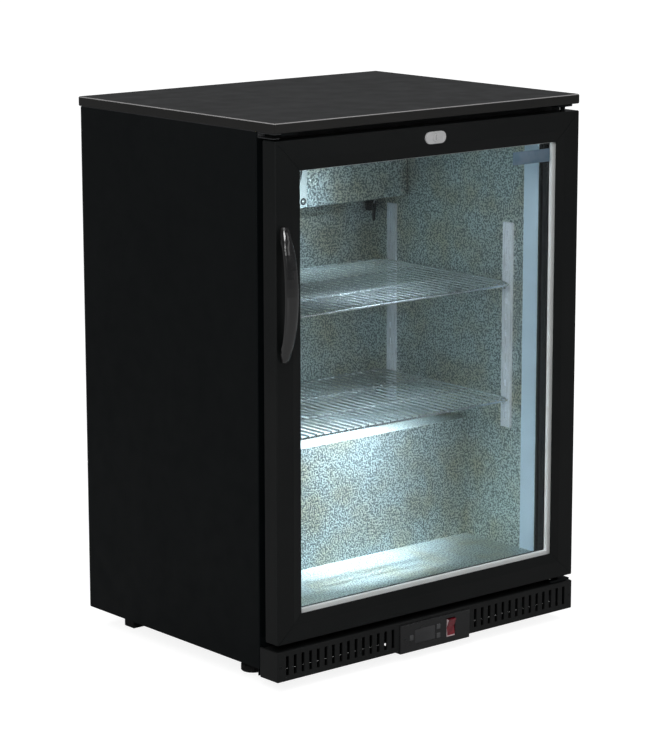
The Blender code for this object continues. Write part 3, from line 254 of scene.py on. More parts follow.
def worktop_paint():
    """Dark grey-brown coat with a visible grain, and a painted highlight: a pale line along its left, right
    and front folds.
    """
    paint = Surface("worktop_coat", (0.0095, 0.0092, 0.0084), 0.36, Specular_IOR_Level=0.3)
    paint.vary((0.0120, 0.0116, 0.0108), 7.0)
    paint.vary((0.0075, 0.0072, 0.0066), 900, 0.55, 0.75)
    low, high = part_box("top_panel")
    highlight_width = 0.0016
    highlight_fade = 0.7 * highlight_width
    left = paint.ramp(paint.axis(0), low.x + highlight_width, low.x + highlight_fade)
    right = paint.ramp(paint.axis(0), high.x - highlight_width, high.x - highlight_fade)
    front = paint.ramp(paint.axis(1), low.y + highlight_width, low.y + highlight_fade)
    upper = paint.ramp(paint.axis(2), high.z - highlight_width, high.z - highlight_fade)
    # Painted highlight: a pale band along the upper left, right and front edges stands in for light caught
    # on the rounded folds.
    outline = paint.maths("MAXIMUM", paint.maths("MAXIMUM", left, right), front)
    paint.tone(paint.maths("MULTIPLY", outline, upper), (0.34, 0.33, 0.33))
    paint.gloss(paint.noise(25, 3), 0.3, 0.7, 0.34, 0.44)
    return paint.relief(paint.noise(1100, 3), 0.00005)


def moulded_plastic(name, colour, roughness, lighter, level=0.4):
    plastic = Surface(name, colour, roughness, Specular_IOR_Level=level)
    plastic.vary(lighter, 12)
    plastic.gloss(plastic.noise(60, 3), 0.3, 0.7, roughness - 0.05, roughness + 0.06)
    return plastic.relief(plastic.noise(1500, 2), 0.00003)


def stucco_aluminium():
    """Embossed aluminium sheet: small pebbles that catch the light unevenly, with painted shade darkening
    the hollows between them.
    """
    sheet = Surface("stucco_aluminium", (0.72, 0.80, 0.80), 0.34, 0.90)
    pebbles = sheet.noise(370, 1.0, roughness=0.4)
    sheet.vary((0.68, 0.66, 0.54), 16, 0.42, 0.66)
    # Painted shade: the hollows of the pebble bump are darkened.
    sheet.tone(sheet.ramp(pebbles, 0.57, 0.43, 0.0, 0.85), (0.16, 0.19, 0.20))
    sheet.gloss(pebbles, 0.35, 0.65, 0.28, 0.44)
    return sheet.relief(pebbles, 0.0013)


def satin_sheet(name, colour, roughness, metallic=0.95):
    """Smooth sheet with a fine vertical grain, from bare metal to a painted strip."""
    sheet = Surface(name, colour, roughness, metallic)
    sheet.vary(tuple(0.9 * c for c in colour), 18)
    grain = sheet.noise(900, 2, stretch=(1, 1, 0.04))
    sheet.gloss(grain, 0.3, 0.7, roughness - 0.06, roughness + 0.06)
    return sheet.relief(grain, 0.00001)


def galvanised_steel():
    """Zinc spangle: crystals of different tone and gloss."""
    zinc = Surface("galvanised_steel", (0.60, 0.62, 0.63), 0.42, 0.9)
    crystals = zinc.cells(75, output="Color")
    zinc.tone(zinc.ramp(crystals, 0.2, 0.8), (0.44, 0.46, 0.48))
    zinc.vary((0.52, 0.52, 0.50), 10)
    zinc.gloss(crystals, 0.2, 0.8, 0.32, 0.52)
    return zinc.relief(zinc.noise(500, 2), 0.00003)


def plated_steel(name, colour, roughness):
    plate = Surface(name, colour, roughness, 1.0)
    plate.vary(tuple(0.88 * c for c in colour), 120)
    plate.gloss(plate.noise(300, 3), 0.3, 0.7, roughness - 0.04, roughness + 0.08)
    return plate.relief(plate.noise(800, 1), 0.00001)


def rubber(name="seal_rubber", colour=(0.012, 0.012, 0.013)):
    seal = Surface(name, colour, 0.68, Specular_IOR_Level=0.35)
    seal.vary(tuple(1.6 * c for c in colour), 35)
    seal.gloss(seal.noise(150, 3), 0.3, 0.7, 0.58, 0.76)
    return seal.relief(seal.noise(1300, 3), 0.00006)


def foam():
    cell = Surface("rigid_foam", (0.72, 0.62, 0.38), 0.9)
    cell.vary((0.82, 0.74, 0.52), 15)
    pores = cell.cells(450)
    cell.tone(cell.ramp(pores, 0.6, 0.9), (0.58, 0.48, 0.28))
    return cell.relief(pores, 0.0004)


def copper():
    pipe = Surface("copper_pipe", (0.80, 0.40, 0.24), 0.28, 1.0)
    pipe.vary((0.50, 0.27, 0.18), 45)
    pipe.gloss(pipe.noise(120, 3), 0.3, 0.7, 0.2, 0.42)
    return pipe.relief(pipe.noise(600, 2), 0.00002)


def gloss_black():
    grip = Surface("gloss_black", (0.006, 0.006, 0.006), 0.14, Coat_Weight=0.6, Coat_Roughness=0.06)
    grip.vary((0.009, 0.009, 0.009), 25)
    grip.gloss(grip.noise(90, 3), 0.3, 0.7, 0.10, 0.20)
    return grip.relief(grip.noise(260, 1), 0.00003)


def rocker_red():
    """Dark red plastic with a painted highlight on its left and lower edges."""
    low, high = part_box("rocker_switch")
    lens = Surface("rocker_red", (0.20, 0.006, 0.016), 0.22, Coat_Weight=0.4, Coat_Roughness=0.08)
    lens.vary((0.11, 0.004, 0.010), 120)
    edge = 0.0016
    left = lens.ramp(lens.axis(0), low.x + edge, low.x + edge * 0.6)
    foot = lens.ramp(lens.axis(2), low.z + edge * 1.3, low.z + edge * 0.8)
    # Painted highlight: the pale left and lower edges stand in for light caught on the rocker's rim.
    lens.tone(lens.maths("MAXIMUM", left, foot), (0.55, 0.42, 0.43))
    return lens.relief(lens.noise(400, 1), 0.00002)


def lamp():
    """The diffuser glows along its length and is plain at its end caps."""
    low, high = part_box("light_tube")
    tube = Surface("lamp_diffuser", (0.85, 0.9, 0.95), 0.35)
    cap = 0.010
    left = tube.ramp(tube.axis(0), low.x + cap, low.x + cap * 1.2)
    right = tube.ramp(tube.axis(0), high.x - cap, high.x - cap * 1.2)
    glow = tube.maths("MULTIPLY", tube.maths("MULTIPLY", left, right), 3.8)
    tube.shader.inputs["Emission Color"].default_value = (*COOL_WHITE, 1)
    tube.tree.links.new(glow, tube.shader.inputs["Emission Strength"])
    tube.vary((0.78, 0.83, 0.88), 60)
    return tube


def pane_glass():
    """Clear glass: what isn't mirrored at its surface passes straight through."""
    pane = Surface("clear_pane", (0.9, 0.95, 0.93), 0.03)
    tree = pane.tree
    tree.nodes.remove(pane.shader)
    patches = pane.ramp(pane.noise(4, 2), 0.3, 0.7)
    tint = pane.mix(patches, (0.955, 0.972, 0.968, 1), (0.965, 0.978, 0.975, 1))
    clear = pane.node("BsdfTransparent", {"Color": tint})
    mirror = pane.node("BsdfGlossy", {"Color": (0.9, 0.95, 1, 1), "Roughness": 0.03})
    edge_on = pane.maths("POWER", pane.node("LayerWeight", {"Blend": 0.5}).outputs["Facing"], 5.0)
    share = pane.maths("ADD", pane.maths("MULTIPLY", edge_on, 0.30), 0.012)
    mix = pane.node("MixShader", {0: share, 1: clear.outputs[0], 2: mirror.outputs[0]})
    tree.links.new(mix.outputs[0], tree.nodes["Material Output"].inputs[0])
    return pane


def display_glass():
    """Glossy smoked window."""
    window = Surface("smoked_window", (0.010, 0.010, 0.011), 0.10, Coat_Weight=0.5, Coat_Roughness=0.05)
    window.vary((0.016, 0.016, 0.018), 90)
    return window.relief(window.noise(500, 1), 0.00001)


def badge_face():
    plate = Surface("badge_plate", (0.10, 0.17, 0.23), 0.35, 0.3)
    plate.vary((0.14, 0.20, 0.26), 60)
    plate.gloss(plate.noise(200, 2), 0.3, 0.7, 0.28, 0.42)
    return plate.relief(plate.noise(900, 1), 0.00002)


def make_materials():
    made = {
        "paint": painted_steel(),
        "door": door_paint(),
        "worktop": worktop_paint(),
        "plastic": moulded_plastic(
            "black_plastic", (0.0045, 0.005, 0.005), 0.45, (0.0065, 0.007, 0.007), 0.25
        ),
        "panel": moulded_plastic("panel_plastic", (0.010, 0.010, 0.0105), 0.3, (0.013, 0.013, 0.0135)),
        "stucco": stucco_aluminium(),
        "aluminium": satin_sheet("smooth_aluminium", (0.88, 0.90, 0.98), 0.30, 0.25),
        "strip": satin_sheet("pale_strip", (0.70, 0.84, 1.0), 0.42, 0.1),
        "spacer": satin_sheet("spacer_bar", (0.97, 0.94, 0.94), 0.5, 0.0),
        "fins": satin_sheet("fin_aluminium", (0.70, 0.72, 0.73), 0.38),
        "zinc": galvanised_steel(),
        "chrome": satin_sheet("satin_chrome", (0.66, 0.66, 0.66), 0.22, 0.35),
        "wire": plated_steel("shelf_wire", (0.72, 0.73, 0.75), 0.2),
        "screw": plated_steel("screw_zinc", (0.66, 0.66, 0.64), 0.3),
        "rim": satin_sheet("dark_rim", (0.060, 0.062, 0.065), 0.30, 0.6),
        "rubber": rubber(),
        "bead": moulded_plastic("bead_vinyl", (0.0045, 0.0045, 0.0045), 0.7, (0.007, 0.007, 0.007), 0.08),
        "foot": rubber("foot_rubber", (0.014, 0.014, 0.014)),
        "foam": foam(),
        "copper": copper(),
        "gloss": gloss_black(),
        "fan": moulded_plastic("fan_plastic", (0.010, 0.010, 0.010), 0.4, (0.016, 0.016, 0.016)),
        "rocker": rocker_red(),
        "button": moulded_plastic("button_plastic", (0.055, 0.056, 0.058), 0.4, (0.070, 0.071, 0.073)),
        "lamp": lamp(),
        "pane": pane_glass(),
        "display": display_glass(),
        "plate": moulded_plastic("pale_plate", (0.22, 0.23, 0.22), 0.4, (0.26, 0.27, 0.26)),
        "guard": moulded_plastic("guard_coat", (0.012, 0.012, 0.012), 0.35, (0.020, 0.020, 0.020)),
        "lead": rubber("lead_sleeve", (0.30, 0.31, 0.32)),
        "badge": badge_face(),
    }
    return {key: surface.material for key, surface in made.items()}


NODE_MATERIALS = {
    "worktop": ["top_panel"],
    "paint": ["side_panel_left", "side_panel_right", "base_tray"]
    + ["hinge_bracket_top", "hinge_bracket_bottom", "hinge_bracket_spare"],
    "door": ["door_frame"],
    "plastic": ["kick_grille", "opening_trim", "drip_tray"],
    "panel": ["controller_bezel"],
    "stucco": ["inner_liner", "evaporator_cover"],
    "zinc": ["rear_panel", "rear_cover", "light_holder", "lock_bolt", "condenser_fan_motor"]
    + ["evaporator_fan_motor", "closer_spring"],
    "foam": ["foam_insulation"],
    "spacer": ["glass_spacer"],
    "pane": ["glass_outer", "glass_inner"],
    "chrome": ["lock_body", "lock_plug"],
    "gloss": ["handle", "compressor"],
    "copper": ["discharge_line", "liquid_line", "suction_line"],
    "fins": ["condenser", "evaporator_coil"],
    "fan": ["evaporator_fan", "condenser_fan"],
    "rocker": ["rocker_switch"],
    "button": ["button_set", "button_up", "button_down"],
    "foot": ["foot_front_left", "foot_front_right", "foot_rear_left", "foot_rear_right"],
    "rubber": ["door_gasket"],
    "lamp": ["light_tube"],
    "aluminium": [f"pilaster_{place}_{side}" for place in ("front", "rear") for side in ("left", "right")],
    "wire": ["shelf_upper", "shelf_lower"]
    + [
        f"shelf_clip_{level}_{place}_{side}"
        for level in ("upper", "lower")
        for place in ("front", "rear")
        for side in ("left", "right")
    ],
}


def dress_nodes():
    """Gives each CAD node its finish, and stops the script if one has none."""
    for finish, names in NODE_MATERIALS.items():
        for name in names:
            slots = nodes[name].data.materials
            slots.clear()
            slots.append(MATERIALS[finish])
    bare = sorted(set(nodes) - {name for names in NODE_MATERIALS.values() for name in names})
    if bare:
        raise ValueError(f"no finish for {bare}")


# ---------------- shapes


def link(name, data, finish, body):
    piece = bpy.data.objects.new(name, data)
    bpy.context.scene.collection.objects.link(piece)
    data.materials.append(MATERIALS[finish])
    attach(piece, body)
    return piece


def from_bmesh(name, bm, finish, body, angle=35):
    """The bmesh as a piece, smooth where neighbouring faces meet at less than the angle."""
    bmesh.ops.recalc_face_normals(bm, faces=bm.faces)
    mesh = bpy.data.meshes.new(name)
    bm.to_mesh(mesh)
    bm.free()
    mesh.shade_smooth()
    mesh.set_sharp_from_angle(angle=math.radians(angle))
    return link(name, mesh, finish, body)


def add_box(bm, low, high, bevel=0.0, segments=2):
    low, high = Vector(low), Vector(high)
    place = Matrix.Translation((low + high) / 2) @ Matrix.Diagonal((high - low).to_4d())
    made = bmesh.ops.create_cube(bm, size=1, matrix=place)
    if bevel:
        edges = list({edge for vert in made["verts"] for edge in vert.link_edges})
        bmesh.ops.bevel(bm, geom=edges, offset=bevel, segments=segments, profile=0.5, affect="EDGES")


def add_prism(bm, outline, axis, start, end):
    """An outline of (y, z) pushed along X, or of (x, z) pushed along Y."""
    rings = []
    for at in (start, end):
        points = [(at, a, z) if axis == "X" else (a, at, z) for a, z in outline]
        rings.append([bm.verts.new(point) for point in points])
    near, far = rings
    bm.faces.new(near)
    bm.faces.new(reversed(far))
    for i in range(len(outline)):
        bm.faces.new((near[i], near[i - 1], far[i - 1], far[i]))


def add_band(bm, loops):
    """Faces from each loop of points to the next, and from the last loop back to the first."""
    rings = [[bm.verts.new(point) for point in loop] for loop in loops]
    for i, near in enumerate(rings):
        far = rings[(i + 1) % len(rings)]
        for k in range(len(near)):
            n = (k + 1) % len(near)
            bm.faces.new((near[k], near[n], far[n], far[k]))


def add_lathe(bm, profile, place, steps):
    """A profile of (radius, height) turned about its own Z axis and put in place by the matrix."""
    angles = [2 * math.pi * i / steps for i in range(steps)]
    rings = []
    for radius, height in profile:
        if radius < 1e-6:
            points = [Vector((0, 0, height))]
        else:
            points = [Vector((radius * math.cos(a), radius * math.sin(a), height)) for a in angles]
        rings.append([bm.verts.new(place @ point) for point in points])
    for near, far in zip(rings, rings[1:]):
        for i in range(steps):
            k = (i + 1) % steps
            if len(near) == 1:
                bm.faces.new((near[0], far[i], far[k]))
            elif len(far) == 1:
                bm.faces.new((near[i], far[0], near[k]))
            else:
                bm.faces.new((near[i], far[i], far[k], near[k]))


def ring_outline(left, right, bottom, top, radius, steps=5):
    """Points (x, z) round a rectangle with rounded corners."""
    corners = [(right, top, 0), (left, top, 90), (left, bottom, 180), (right, bottom, 270)]
    loop = []
    for x, z, angle in corners:
        cx = x + (radius if x == left else -radius)
        cz = z + (radius if z == bottom else -radius)
        for k in range(steps + 1):
            a = math.radians(angle + 90 * k / steps)
            loop.append((cx + radius * math.cos(a), cz + radius * math.sin(a)))
    return loop


def wires(name, routes, finish, body, resolution=4):
    """Round wires in one piece. Each route is (points, radius, closed)."""
    curve = bpy.data.curves.new(name, "CURVE")
    curve.dimensions = "3D"
    curve.bevel_depth = 1.0
    curve.bevel_resolution = resolution
    curve.use_fill_caps = True
    for points, radius, closed in routes:
        spline = curve.splines.new("POLY")
        spline.points.add(len(points) - 1)
        for point, place in zip(spline.points, points):
            point.co = (*place, 1)
            point.radius = radius
        spline.use_cyclic_u = closed
    return link(name, curve, finish, body)


def rounded_corners(points, radius, closed=False, steps=5):
    """The route with each corner made a curve that starts and ends the radius away from it."""
    points = [Vector(p) for p in points]
    count = len(points)
    route = [] if closed else [points[0]]
    for i in range(count) if closed else range(1, count - 1):
        before, here, after = points[i - 1], points[i], points[(i + 1) % count]
        start = here + (before - here).normalized() * radius
        end = here + (after - here).normalized() * radius
        for k in range(steps + 1):
            t = k / steps
            route.append(start * (1 - t) ** 2 + here * 2 * t * (1 - t) + end * t**2)
    return route if closed else route + [points[-1]]


def circle(centre, radius):
    """Points round a circle in a plane that faces the front."""
    steps = 40
    angles = [2 * math.pi * i / steps for i in range(steps)]
    return [(centre.x + radius * math.cos(a), centre.y, centre.z + radius * math.sin(a)) for a in angles]


def screw_mesh(radius, height):
    """Pan head with a cross recess, its flat side on Z = 0 and its crown towards +Z."""
    bm = bmesh.new()
    profile = [(0, height), (0.45 * radius, 0.97 * height), (0.75 * radius, 0.80 * height)]
    profile += [(0.95 * radius, 0.42 * height), (radius, 0.12 * height), (radius, 0), (0, 0)]
    add_lathe(bm, profile, Matrix.Identity(4), 20)
    bmesh.ops.recalc_face_normals(bm, faces=bm.faces)
    head_mesh = bpy.data.meshes.new("screw_head")
    bm.to_mesh(head_mesh)
    bm.free()
    bm = bmesh.new()
    reach, half = 0.62 * radius, 0.11 * radius
    for x, y in ((reach, half), (half, reach)):
        add_box(bm, (-x, -y, 0.45 * height), (x, y, 1.5 * height))
    cross_mesh = bpy.data.meshes.new("screw_cross")
    bm.to_mesh(cross_mesh)
    bm.free()
    head = bpy.data.objects.new("screw_head", head_mesh)
    cross = bpy.data.objects.new("screw_cross", cross_mesh)
    for obj in (head, cross):
        bpy.context.scene.collection.objects.link(obj)
    recess = head.modifiers.new("recess", "BOOLEAN")
    recess.operation = "DIFFERENCE"
    recess.object = cross
    recess.use_self = True
    bpy.context.view_layer.update()
    graph = bpy.context.evaluated_depsgraph_get()
    mesh = bpy.data.meshes.new_from_object(head.evaluated_get(graph))
    for obj in (head, cross):
        bpy.data.objects.remove(obj, do_unlink=True)
    return mesh


FACING = {
    "front": Matrix.Rotation(math.pi / 2, 4, "X"),
    "rear": Matrix.Rotation(-math.pi / 2, 4, "X"),
    "up": Matrix.Identity(4),
}


def screws(name, places, facing, radius=0.0035, height=0.0018, finish="screw"):
    """Screw heads on the cabinet, in one piece, each turned by another angle."""
    head = screw_mesh(radius, height)
    bm = bmesh.new()
    for i, place in enumerate(places):
        turn = Matrix.Rotation(math.radians(37 * i % 90), 4, "Z")
        copy = head.copy()
        copy.transform(Matrix.Translation(place) @ FACING[facing] @ turn)
        bm.from_mesh(copy)
        bpy.data.meshes.remove(copy)
    from_bmesh(name, bm, finish, "cabinet", 30)


# ---------------- interior


def shelf_rim(x, front, rear, low_z, high_z, corner):
    """A closed route, low along the front and rear and climbing to its two sides just past each corner."""
    ring = rounded_corners([(-x, front, 0), (x, front, 0), (x, rear, 0), (-x, rear, 0)], corner, True)
    for point in ring:
        from_end = min(point.y - front, rear - point.y)
        point.z = low_z + (high_z - low_z) * min(1.0, from_end / (2 * corner))
    climb = 2.4 * corner
    route = []
    for i, point in enumerate(ring):
        route.append(point)
        following = ring[(i + 1) % len(ring)]
        if abs(following.y - point.y) > 4 * corner:
            ends = [Vector((point.x, front + climb, high_z)), Vector((point.x, rear - climb, high_z))]
            route += ends if following.y > point.y else ends[::-1]
    return route


def wire_shelves():
    """Wires laid from front to rear on a rim that dips under their ends, with two cross bars below."""
    rim, wire = 0.0018, 0.0014
    count, corner, overlap = 33, 0.010, 0.6 * rim
    for level in ("upper", "lower"):
        low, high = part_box(f"shelf_{level}")
        wire_z = high.z - wire
        rim_z, side_z = high.z - 2 * wire - rim, high.z - rim
        x, front, rear = high.x - rim, low.y + rim, high.y - rim
        routes = [(shelf_rim(x, front, rear, rim_z, side_z, corner), rim, True)]
        for i in range(count):
            at = -x + 2 * x * (i + 1) / (count + 1)
            routes.append(([(at, front - overlap, wire_z), (at, rear + overlap, wire_z)], wire, False))
        for share in (0.33, 0.67):
            y = front + (rear - front) * share
            routes.append(([(-x, y, rim_z), (x, y, rim_z)], rim, False))
        shelf = wires(f"shelf_{level}_wires", routes, "wire", f"shelf_{level}")
        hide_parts(f"shelf_{level}")


def liner_strips():
    """Smooth strips down both side walls, just inside the mouth."""
    low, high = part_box("inner_liner")
    wall, thick, width, inset, end_gap = 0.001, 0.0006, 0.032, 0.0010, 0.0016
    front, bottom, top = low.y + inset, low.z + end_gap, high.z - end_gap
    bm = bmesh.new()
    for sign in (-1, 1):
        left, right = sorted((sign * (high.x - wall - CLEARANCE), sign * (high.x - wall - thick)))
        add_box(bm, (left, front, bottom), (right, front + width, top), 0.0002, 1)
    from_bmesh("liner_strips", bm, "strip", "cabinet")


def fan_plate():
    """Smooth square plate round the evaporator fan, with a screw in a rubber grommet at each corner."""
    fan_low, fan_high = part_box("evaporator_fan")
    cover_low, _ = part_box("evaporator_cover")
    middle = (fan_low + fan_high) / 2
    half, hole, thick, corner, screw_inset = 0.0605, 0.0465, 0.0012, 0.006, 0.0075
    back = cover_low.y - CLEARANCE
    front = back - thick
    bottom = max(middle.z - half, cover_low.z + 0.002)
    square = ring_outline(middle.x - half, middle.x + half, bottom, middle.z + half, corner, 11)
    angles = [math.atan2(z - middle.z, x - middle.x) for x, z in square]
    opening = [(middle.x + hole * math.cos(a), middle.z + hole * math.sin(a)) for a in angles]
    bm = bmesh.new()
    sides = ((opening, front), (square, front), (square, back), (opening, back))
    add_band(bm, [[(x, y, z) for x, z in loop] for loop, y in sides])
    from_bmesh("fan_plate", bm, "plate", "cabinet")
    reach = half - screw_inset
    corners = [
        (x, front, z)
        for x in (middle.x - reach, middle.x + reach)
        for z in (bottom + screw_inset, middle.z + reach)
    ]
    screws("fan_plate_screws", corners, "front", 0.0026, 0.0022)
    grommet = [(0.0031, 0.0002), (0.0036, 0.0012), (0.0052, 0.0012), (0.0058, 0.0002), (0.0031, 0.0002)]
    bm = bmesh.new()
    for place in corners:
        add_lathe(bm, grommet, Matrix.Translation(place) @ FACING["front"], 20)
    from_bmesh("fan_plate_grommets", bm, "rubber", "cabinet")


def fan_guard():
    """Rings on radial wires in front of the evaporator fan."""
    low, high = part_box("evaporator_fan")
    middle = (low + high) / 2
    cover_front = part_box("evaporator_cover")[0].y
    wire, reach, stand_off, spokes = 0.0011, 0.048, 0.0040, 4
    centre = Vector((middle.x, cover_front - stand_off, middle.z))
    back = Vector((0, wire * 1.6, 0))
    routes = [(circle(centre, radius), wire, True) for radius in (0.012, 0.021, 0.030, 0.039, reach)]
    for i in range(spokes):
        turn = math.pi * (i + 0.5) / spokes
        offset = Vector((math.cos(turn) * reach, 0, math.sin(turn) * reach))
        routes.append(([centre - offset + back, centre + offset + back], wire, False))
    wires("evaporator_fan_guard", routes, "guard", "cabinet", 3)


def probe():
    """Air probe in its clip on the rear wall, with the lead that goes up behind the cover."""
    _, liner_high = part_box("inner_liner")
    from_side, below_cover, stand_off = 0.015, 0.036, 0.0125
    wall = liner_high.y - 0.001
    x, z = liner_high.x - from_side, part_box("evaporator_cover")[0].z - below_cover
    clip_bottom, clip_top, half = z + 0.004, z + 0.020, 0.008
    bm = bmesh.new()
    add_box(bm, (x - half, wall - 0.010, clip_bottom), (x + half, wall - 0.0004, clip_top), 0.0015)
    tip = [(0, 0.012), (0.0022, 0.011), (0.0028, 0.009), (0.0028, -0.014), (0.0018, -0.017), (0, -0.0175)]
    add_lathe(bm, tip, Matrix.Translation((x, wall - stand_off, clip_bottom)), 16)
    from_bmesh("probe_clip", bm, "plastic", "cabinet")
    start = Vector((x, wall - stand_off, z))
    bends = [(0, 0, 0.016), (0.004, 0, 0.026), (0.006, 0.007, 0.036), (0.002, 0.009, 0.060)]
    lead = rounded_corners([start + Vector(bend) for bend in bends], 0.006)
    wires("probe_lead", [(lead, 0.0013, False)], "lead", "cabinet", 3)


# ---------------- cabinet outside


def worktop_sealant():
    """Dark bead in the joint between the side panels and the rounded lower edge of the worktop."""
    side_low, side_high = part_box("side_panel_left")
    top_low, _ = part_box("top_panel")
    gap = 0.00002
    outer, foot, lip = -side_low.x, side_high.z + gap, top_low.z - gap
    front, rear = side_low.y + 0.003, side_high.y - 0.002
    # each point is a depth from the side panel's face and a height
    section = [
        (0.00015, foot),
        (0.00015, lip + 0.0012),
        (0.00065, lip + 0.0003),
        (0.00080, lip),
        (0.00110, lip),
        (0.00110, foot),
    ]
    bm = bmesh.new()
    for sign in (-1, 1):
        outline = [(sign * (outer - depth), z) for depth, z in section]
        add_prism(bm, outline, "Y", front, rear)
    from_bmesh("worktop_sealant", bm, "rubber", "cabinet")


def bracket_rim():
    """Folded rim at the outer end of the spare hinge plate."""
    low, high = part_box("hinge_bracket_spare")
    skin, drop, length, gap = 0.0010, 0.0078, 0.0116, 0.0002
    front, back, top = low.y, high.y - 0.0005, high.z
    toe = front + 0.004
    bottom = top - drop
    outline = [
        (front, top),
        (back, top),
        (back, bottom),
        (toe, bottom),
        (toe, bottom + skin),
        (back - skin, bottom + skin),
        (back - skin, top - skin),
        (front, top - skin),
    ]
    bm = bmesh.new()
    add_prism(bm, outline, "X", low.x - gap - length, low.x - gap)
    from_bmesh("spare_bracket_rim", bm, "rim", "cabinet")


def display():
    """A smoked window in the control panel's recess, between the buttons."""
    low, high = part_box("controller_bezel")
    _, set_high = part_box("button_set")
    up_low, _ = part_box("button_up")
    recess, thick = low.y + 0.0008, 0.0005
    left, right = set_high.x + 0.0038, up_low.x - 0.0032
    bottom, top = low.z + 0.0118, high.z - 0.0108
    back = recess - CLEARANCE
    bm = bmesh.new()
    add_box(bm, (left, back - thick, bottom), (right, back, top), 0.0003)
    from_bmesh("display_window", bm, "display", "cabinet")


# ---------------- door


def door_seal():
    """Bellows seal round the back of the door: a base strip, two folds and a flat magnet pocket."""
    low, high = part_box("door_gasket")
    corner, least_corner, drawn_depth = 0.016, 0.001, 0.0122
    # each point is a distance in from the outer edge and a distance back from the door
    profile = [
        (0.0000, 0.0000), (0.0000, 0.0012), (0.0030, 0.0024), (0.0012, 0.0044), (0.0036, 0.0062),
        (0.0010, 0.0080), (0.0006, 0.0090), (0.0006, 0.0116), (0.0012, 0.0122), (0.0118, 0.0122),
        (0.0124, 0.0116), (0.0124, 0.0090), (0.0098, 0.0070), (0.0126, 0.0048), (0.0098, 0.0028),
        (0.0138, 0.0012), (0.0138, 0.0000),
    ]  # fmt: skip
    loops = []
    for inward, back in profile:
        left, right, bottom, top = low.x + inward, high.x - inward, low.z + inward, high.z - inward
        y = low.y + back * (high.y - low.y) / drawn_depth
        outline = ring_outline(left, right, bottom, top, max(corner - inward, least_corner))
        loops.append([(x, y, z) for x, z in outline])
    bm = bmesh.new()
    add_band(bm, loops)
    seal = from_bmesh("door_seal", bm, "rubber", "door", 60)
    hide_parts("door_gasket")


def glazing_bead():
    """Black bead round the inner edge of the frame, which holds the rear pane."""
    pane_low, pane_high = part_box("glass_inner")
    frame_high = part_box("door_frame")[1]
    bite, thick, chamfer, corner = 0.0125, 0.0007, 0.0008, 0.0004
    left, right = pane_low.x + bite, pane_high.x - bite
    bottom, top = pane_low.z + bite, pane_high.z - bite
    front, back = pane_high.y + CLEARANCE, frame_high.y - 2 * CLEARANCE
    # each point is a distance in from the frame's edge and a place along Y
    section = [(0.0001, front), (thick, front), (thick, back - chamfer), (0.0003, back), (0.0001, back)]
    loops = []
    for inward, y in section:
        outline = ring_outline(left + inward, right - inward, bottom + inward, top - inward, corner, 1)
        loops.append([(x, y, z) for x, z in outline])
    bm = bmesh.new()
    add_band(bm, loops)
    from_bmesh("glazing_bead", bm, "bead", "door")


def badge():
    """Blank plate on the outer pane's upper right corner."""
    low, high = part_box("glass_outer")
    width, height, thick = 0.077, 0.020, 0.0011
    right, top, back = high.x - 0.0252, high.z - 0.0212, low.y - CLEARANCE
    bm = bmesh.new()
    add_box(bm, (right - width, back - thick, top - height), (right, back, top), 0.0004)
    from_bmesh("blank_badge", bm, "badge", "door")


# ---------------- fasteners


def rear_screws():
    """Screws along the rear cover's upper and lower edges, and up both sides of the rear panel."""
    cover_low, cover_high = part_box("rear_cover")
    panel_low, panel_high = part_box("rear_panel")
    inset, across, upward = 0.012, 5, 4
    side, skin = panel_high.x - inset, panel_high.y
    places = []
    for i in range(across):
        x = -side + 2 * side * i / (across - 1)
        places.append((x, skin, cover_high.z - inset))
        if i % 2 == 0:
            places.append((x, skin, cover_low.z + inset))
    for i in range(upward):
        z = panel_low.z + inset + (panel_high.z - panel_low.z - 2 * inset) * i / (upward - 1)
        places += [(-side, skin, z), (side, skin, z)]
    screws("rear_screws", places, "rear")


def evaporator_cover_screws():
    low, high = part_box("evaporator_cover")
    inset, foot_inset = 0.010, 0.009
    xs, zs = (low.x + inset, high.x - inset), (low.z + foot_inset, high.z - inset)
    places = [(x, low.y, z) for x in xs for z in zs]
    screws("evaporator_cover_screws", places, "front", 0.003, 0.0014)


def hinge_screws():
    """Two screws in the lower hinge's plate, which lies over the kick grille."""
    low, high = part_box("hinge_bracket_bottom")
    plate_over_grille = 0.0045
    plate_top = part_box("kick_grille")[1].z + plate_over_grille
    x, front = (low.x + high.x) / 2, low.y
    places = [(x - 0.012, front + 0.0115, plate_top), (x + 0.013, front + 0.0270, plate_top)]
    screws("hinge_screws", places, "up", 0.0030, 0.0014)


def grille_screws():
    low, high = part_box("kick_grille")
    inset = 0.0055
    places = [(sign * (high.x - inset), low.y, (low.z + high.z) / 2) for sign in (-1, 1)]
    screws("grille_screws", places, "front", 0.0026, 0.0010, "plastic")


# ---------------- rear and machine bay


def louvres():
    """Pressed hoods over the slots of the rear cover, open downwards, with a cheek at each end."""
    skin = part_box("rear_panel")[1].y
    lowest, pitch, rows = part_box("rear_cover")[0].z + 0.0435, 0.017, 10
    height, depth, sheet, steps = 0.009, 0.0040, 0.0005, 6
    inner_end, outer_end = 0.0185, 0.2515
    bm = bmesh.new()
    for row in range(rows):
        bottom = lowest + row * pitch
        outside, inside = [], []
        for i in range(steps + 1):
            a = math.pi / 2 * i / steps
            y, z = skin + depth * math.sin(a), bottom + height * math.cos(a)
            outside.append((y, z))
            inside.append((y - sheet, z - 0.5 * sheet) if i else (skin + CLEARANCE, z - 1.5 * sheet))
        cheek = [(skin + CLEARANCE, bottom)] + outside
        for left, right in ((-outer_end, -inner_end), (inner_end, outer_end)):
            add_prism(bm, outside + inside[::-1], "X", left, right)
            add_prism(bm, cheek, "X", left + sheet, left)
            add_prism(bm, cheek, "X", right - sheet, right)
    from_bmesh("rear_louvres", bm, "zinc", "cabinet", 50)


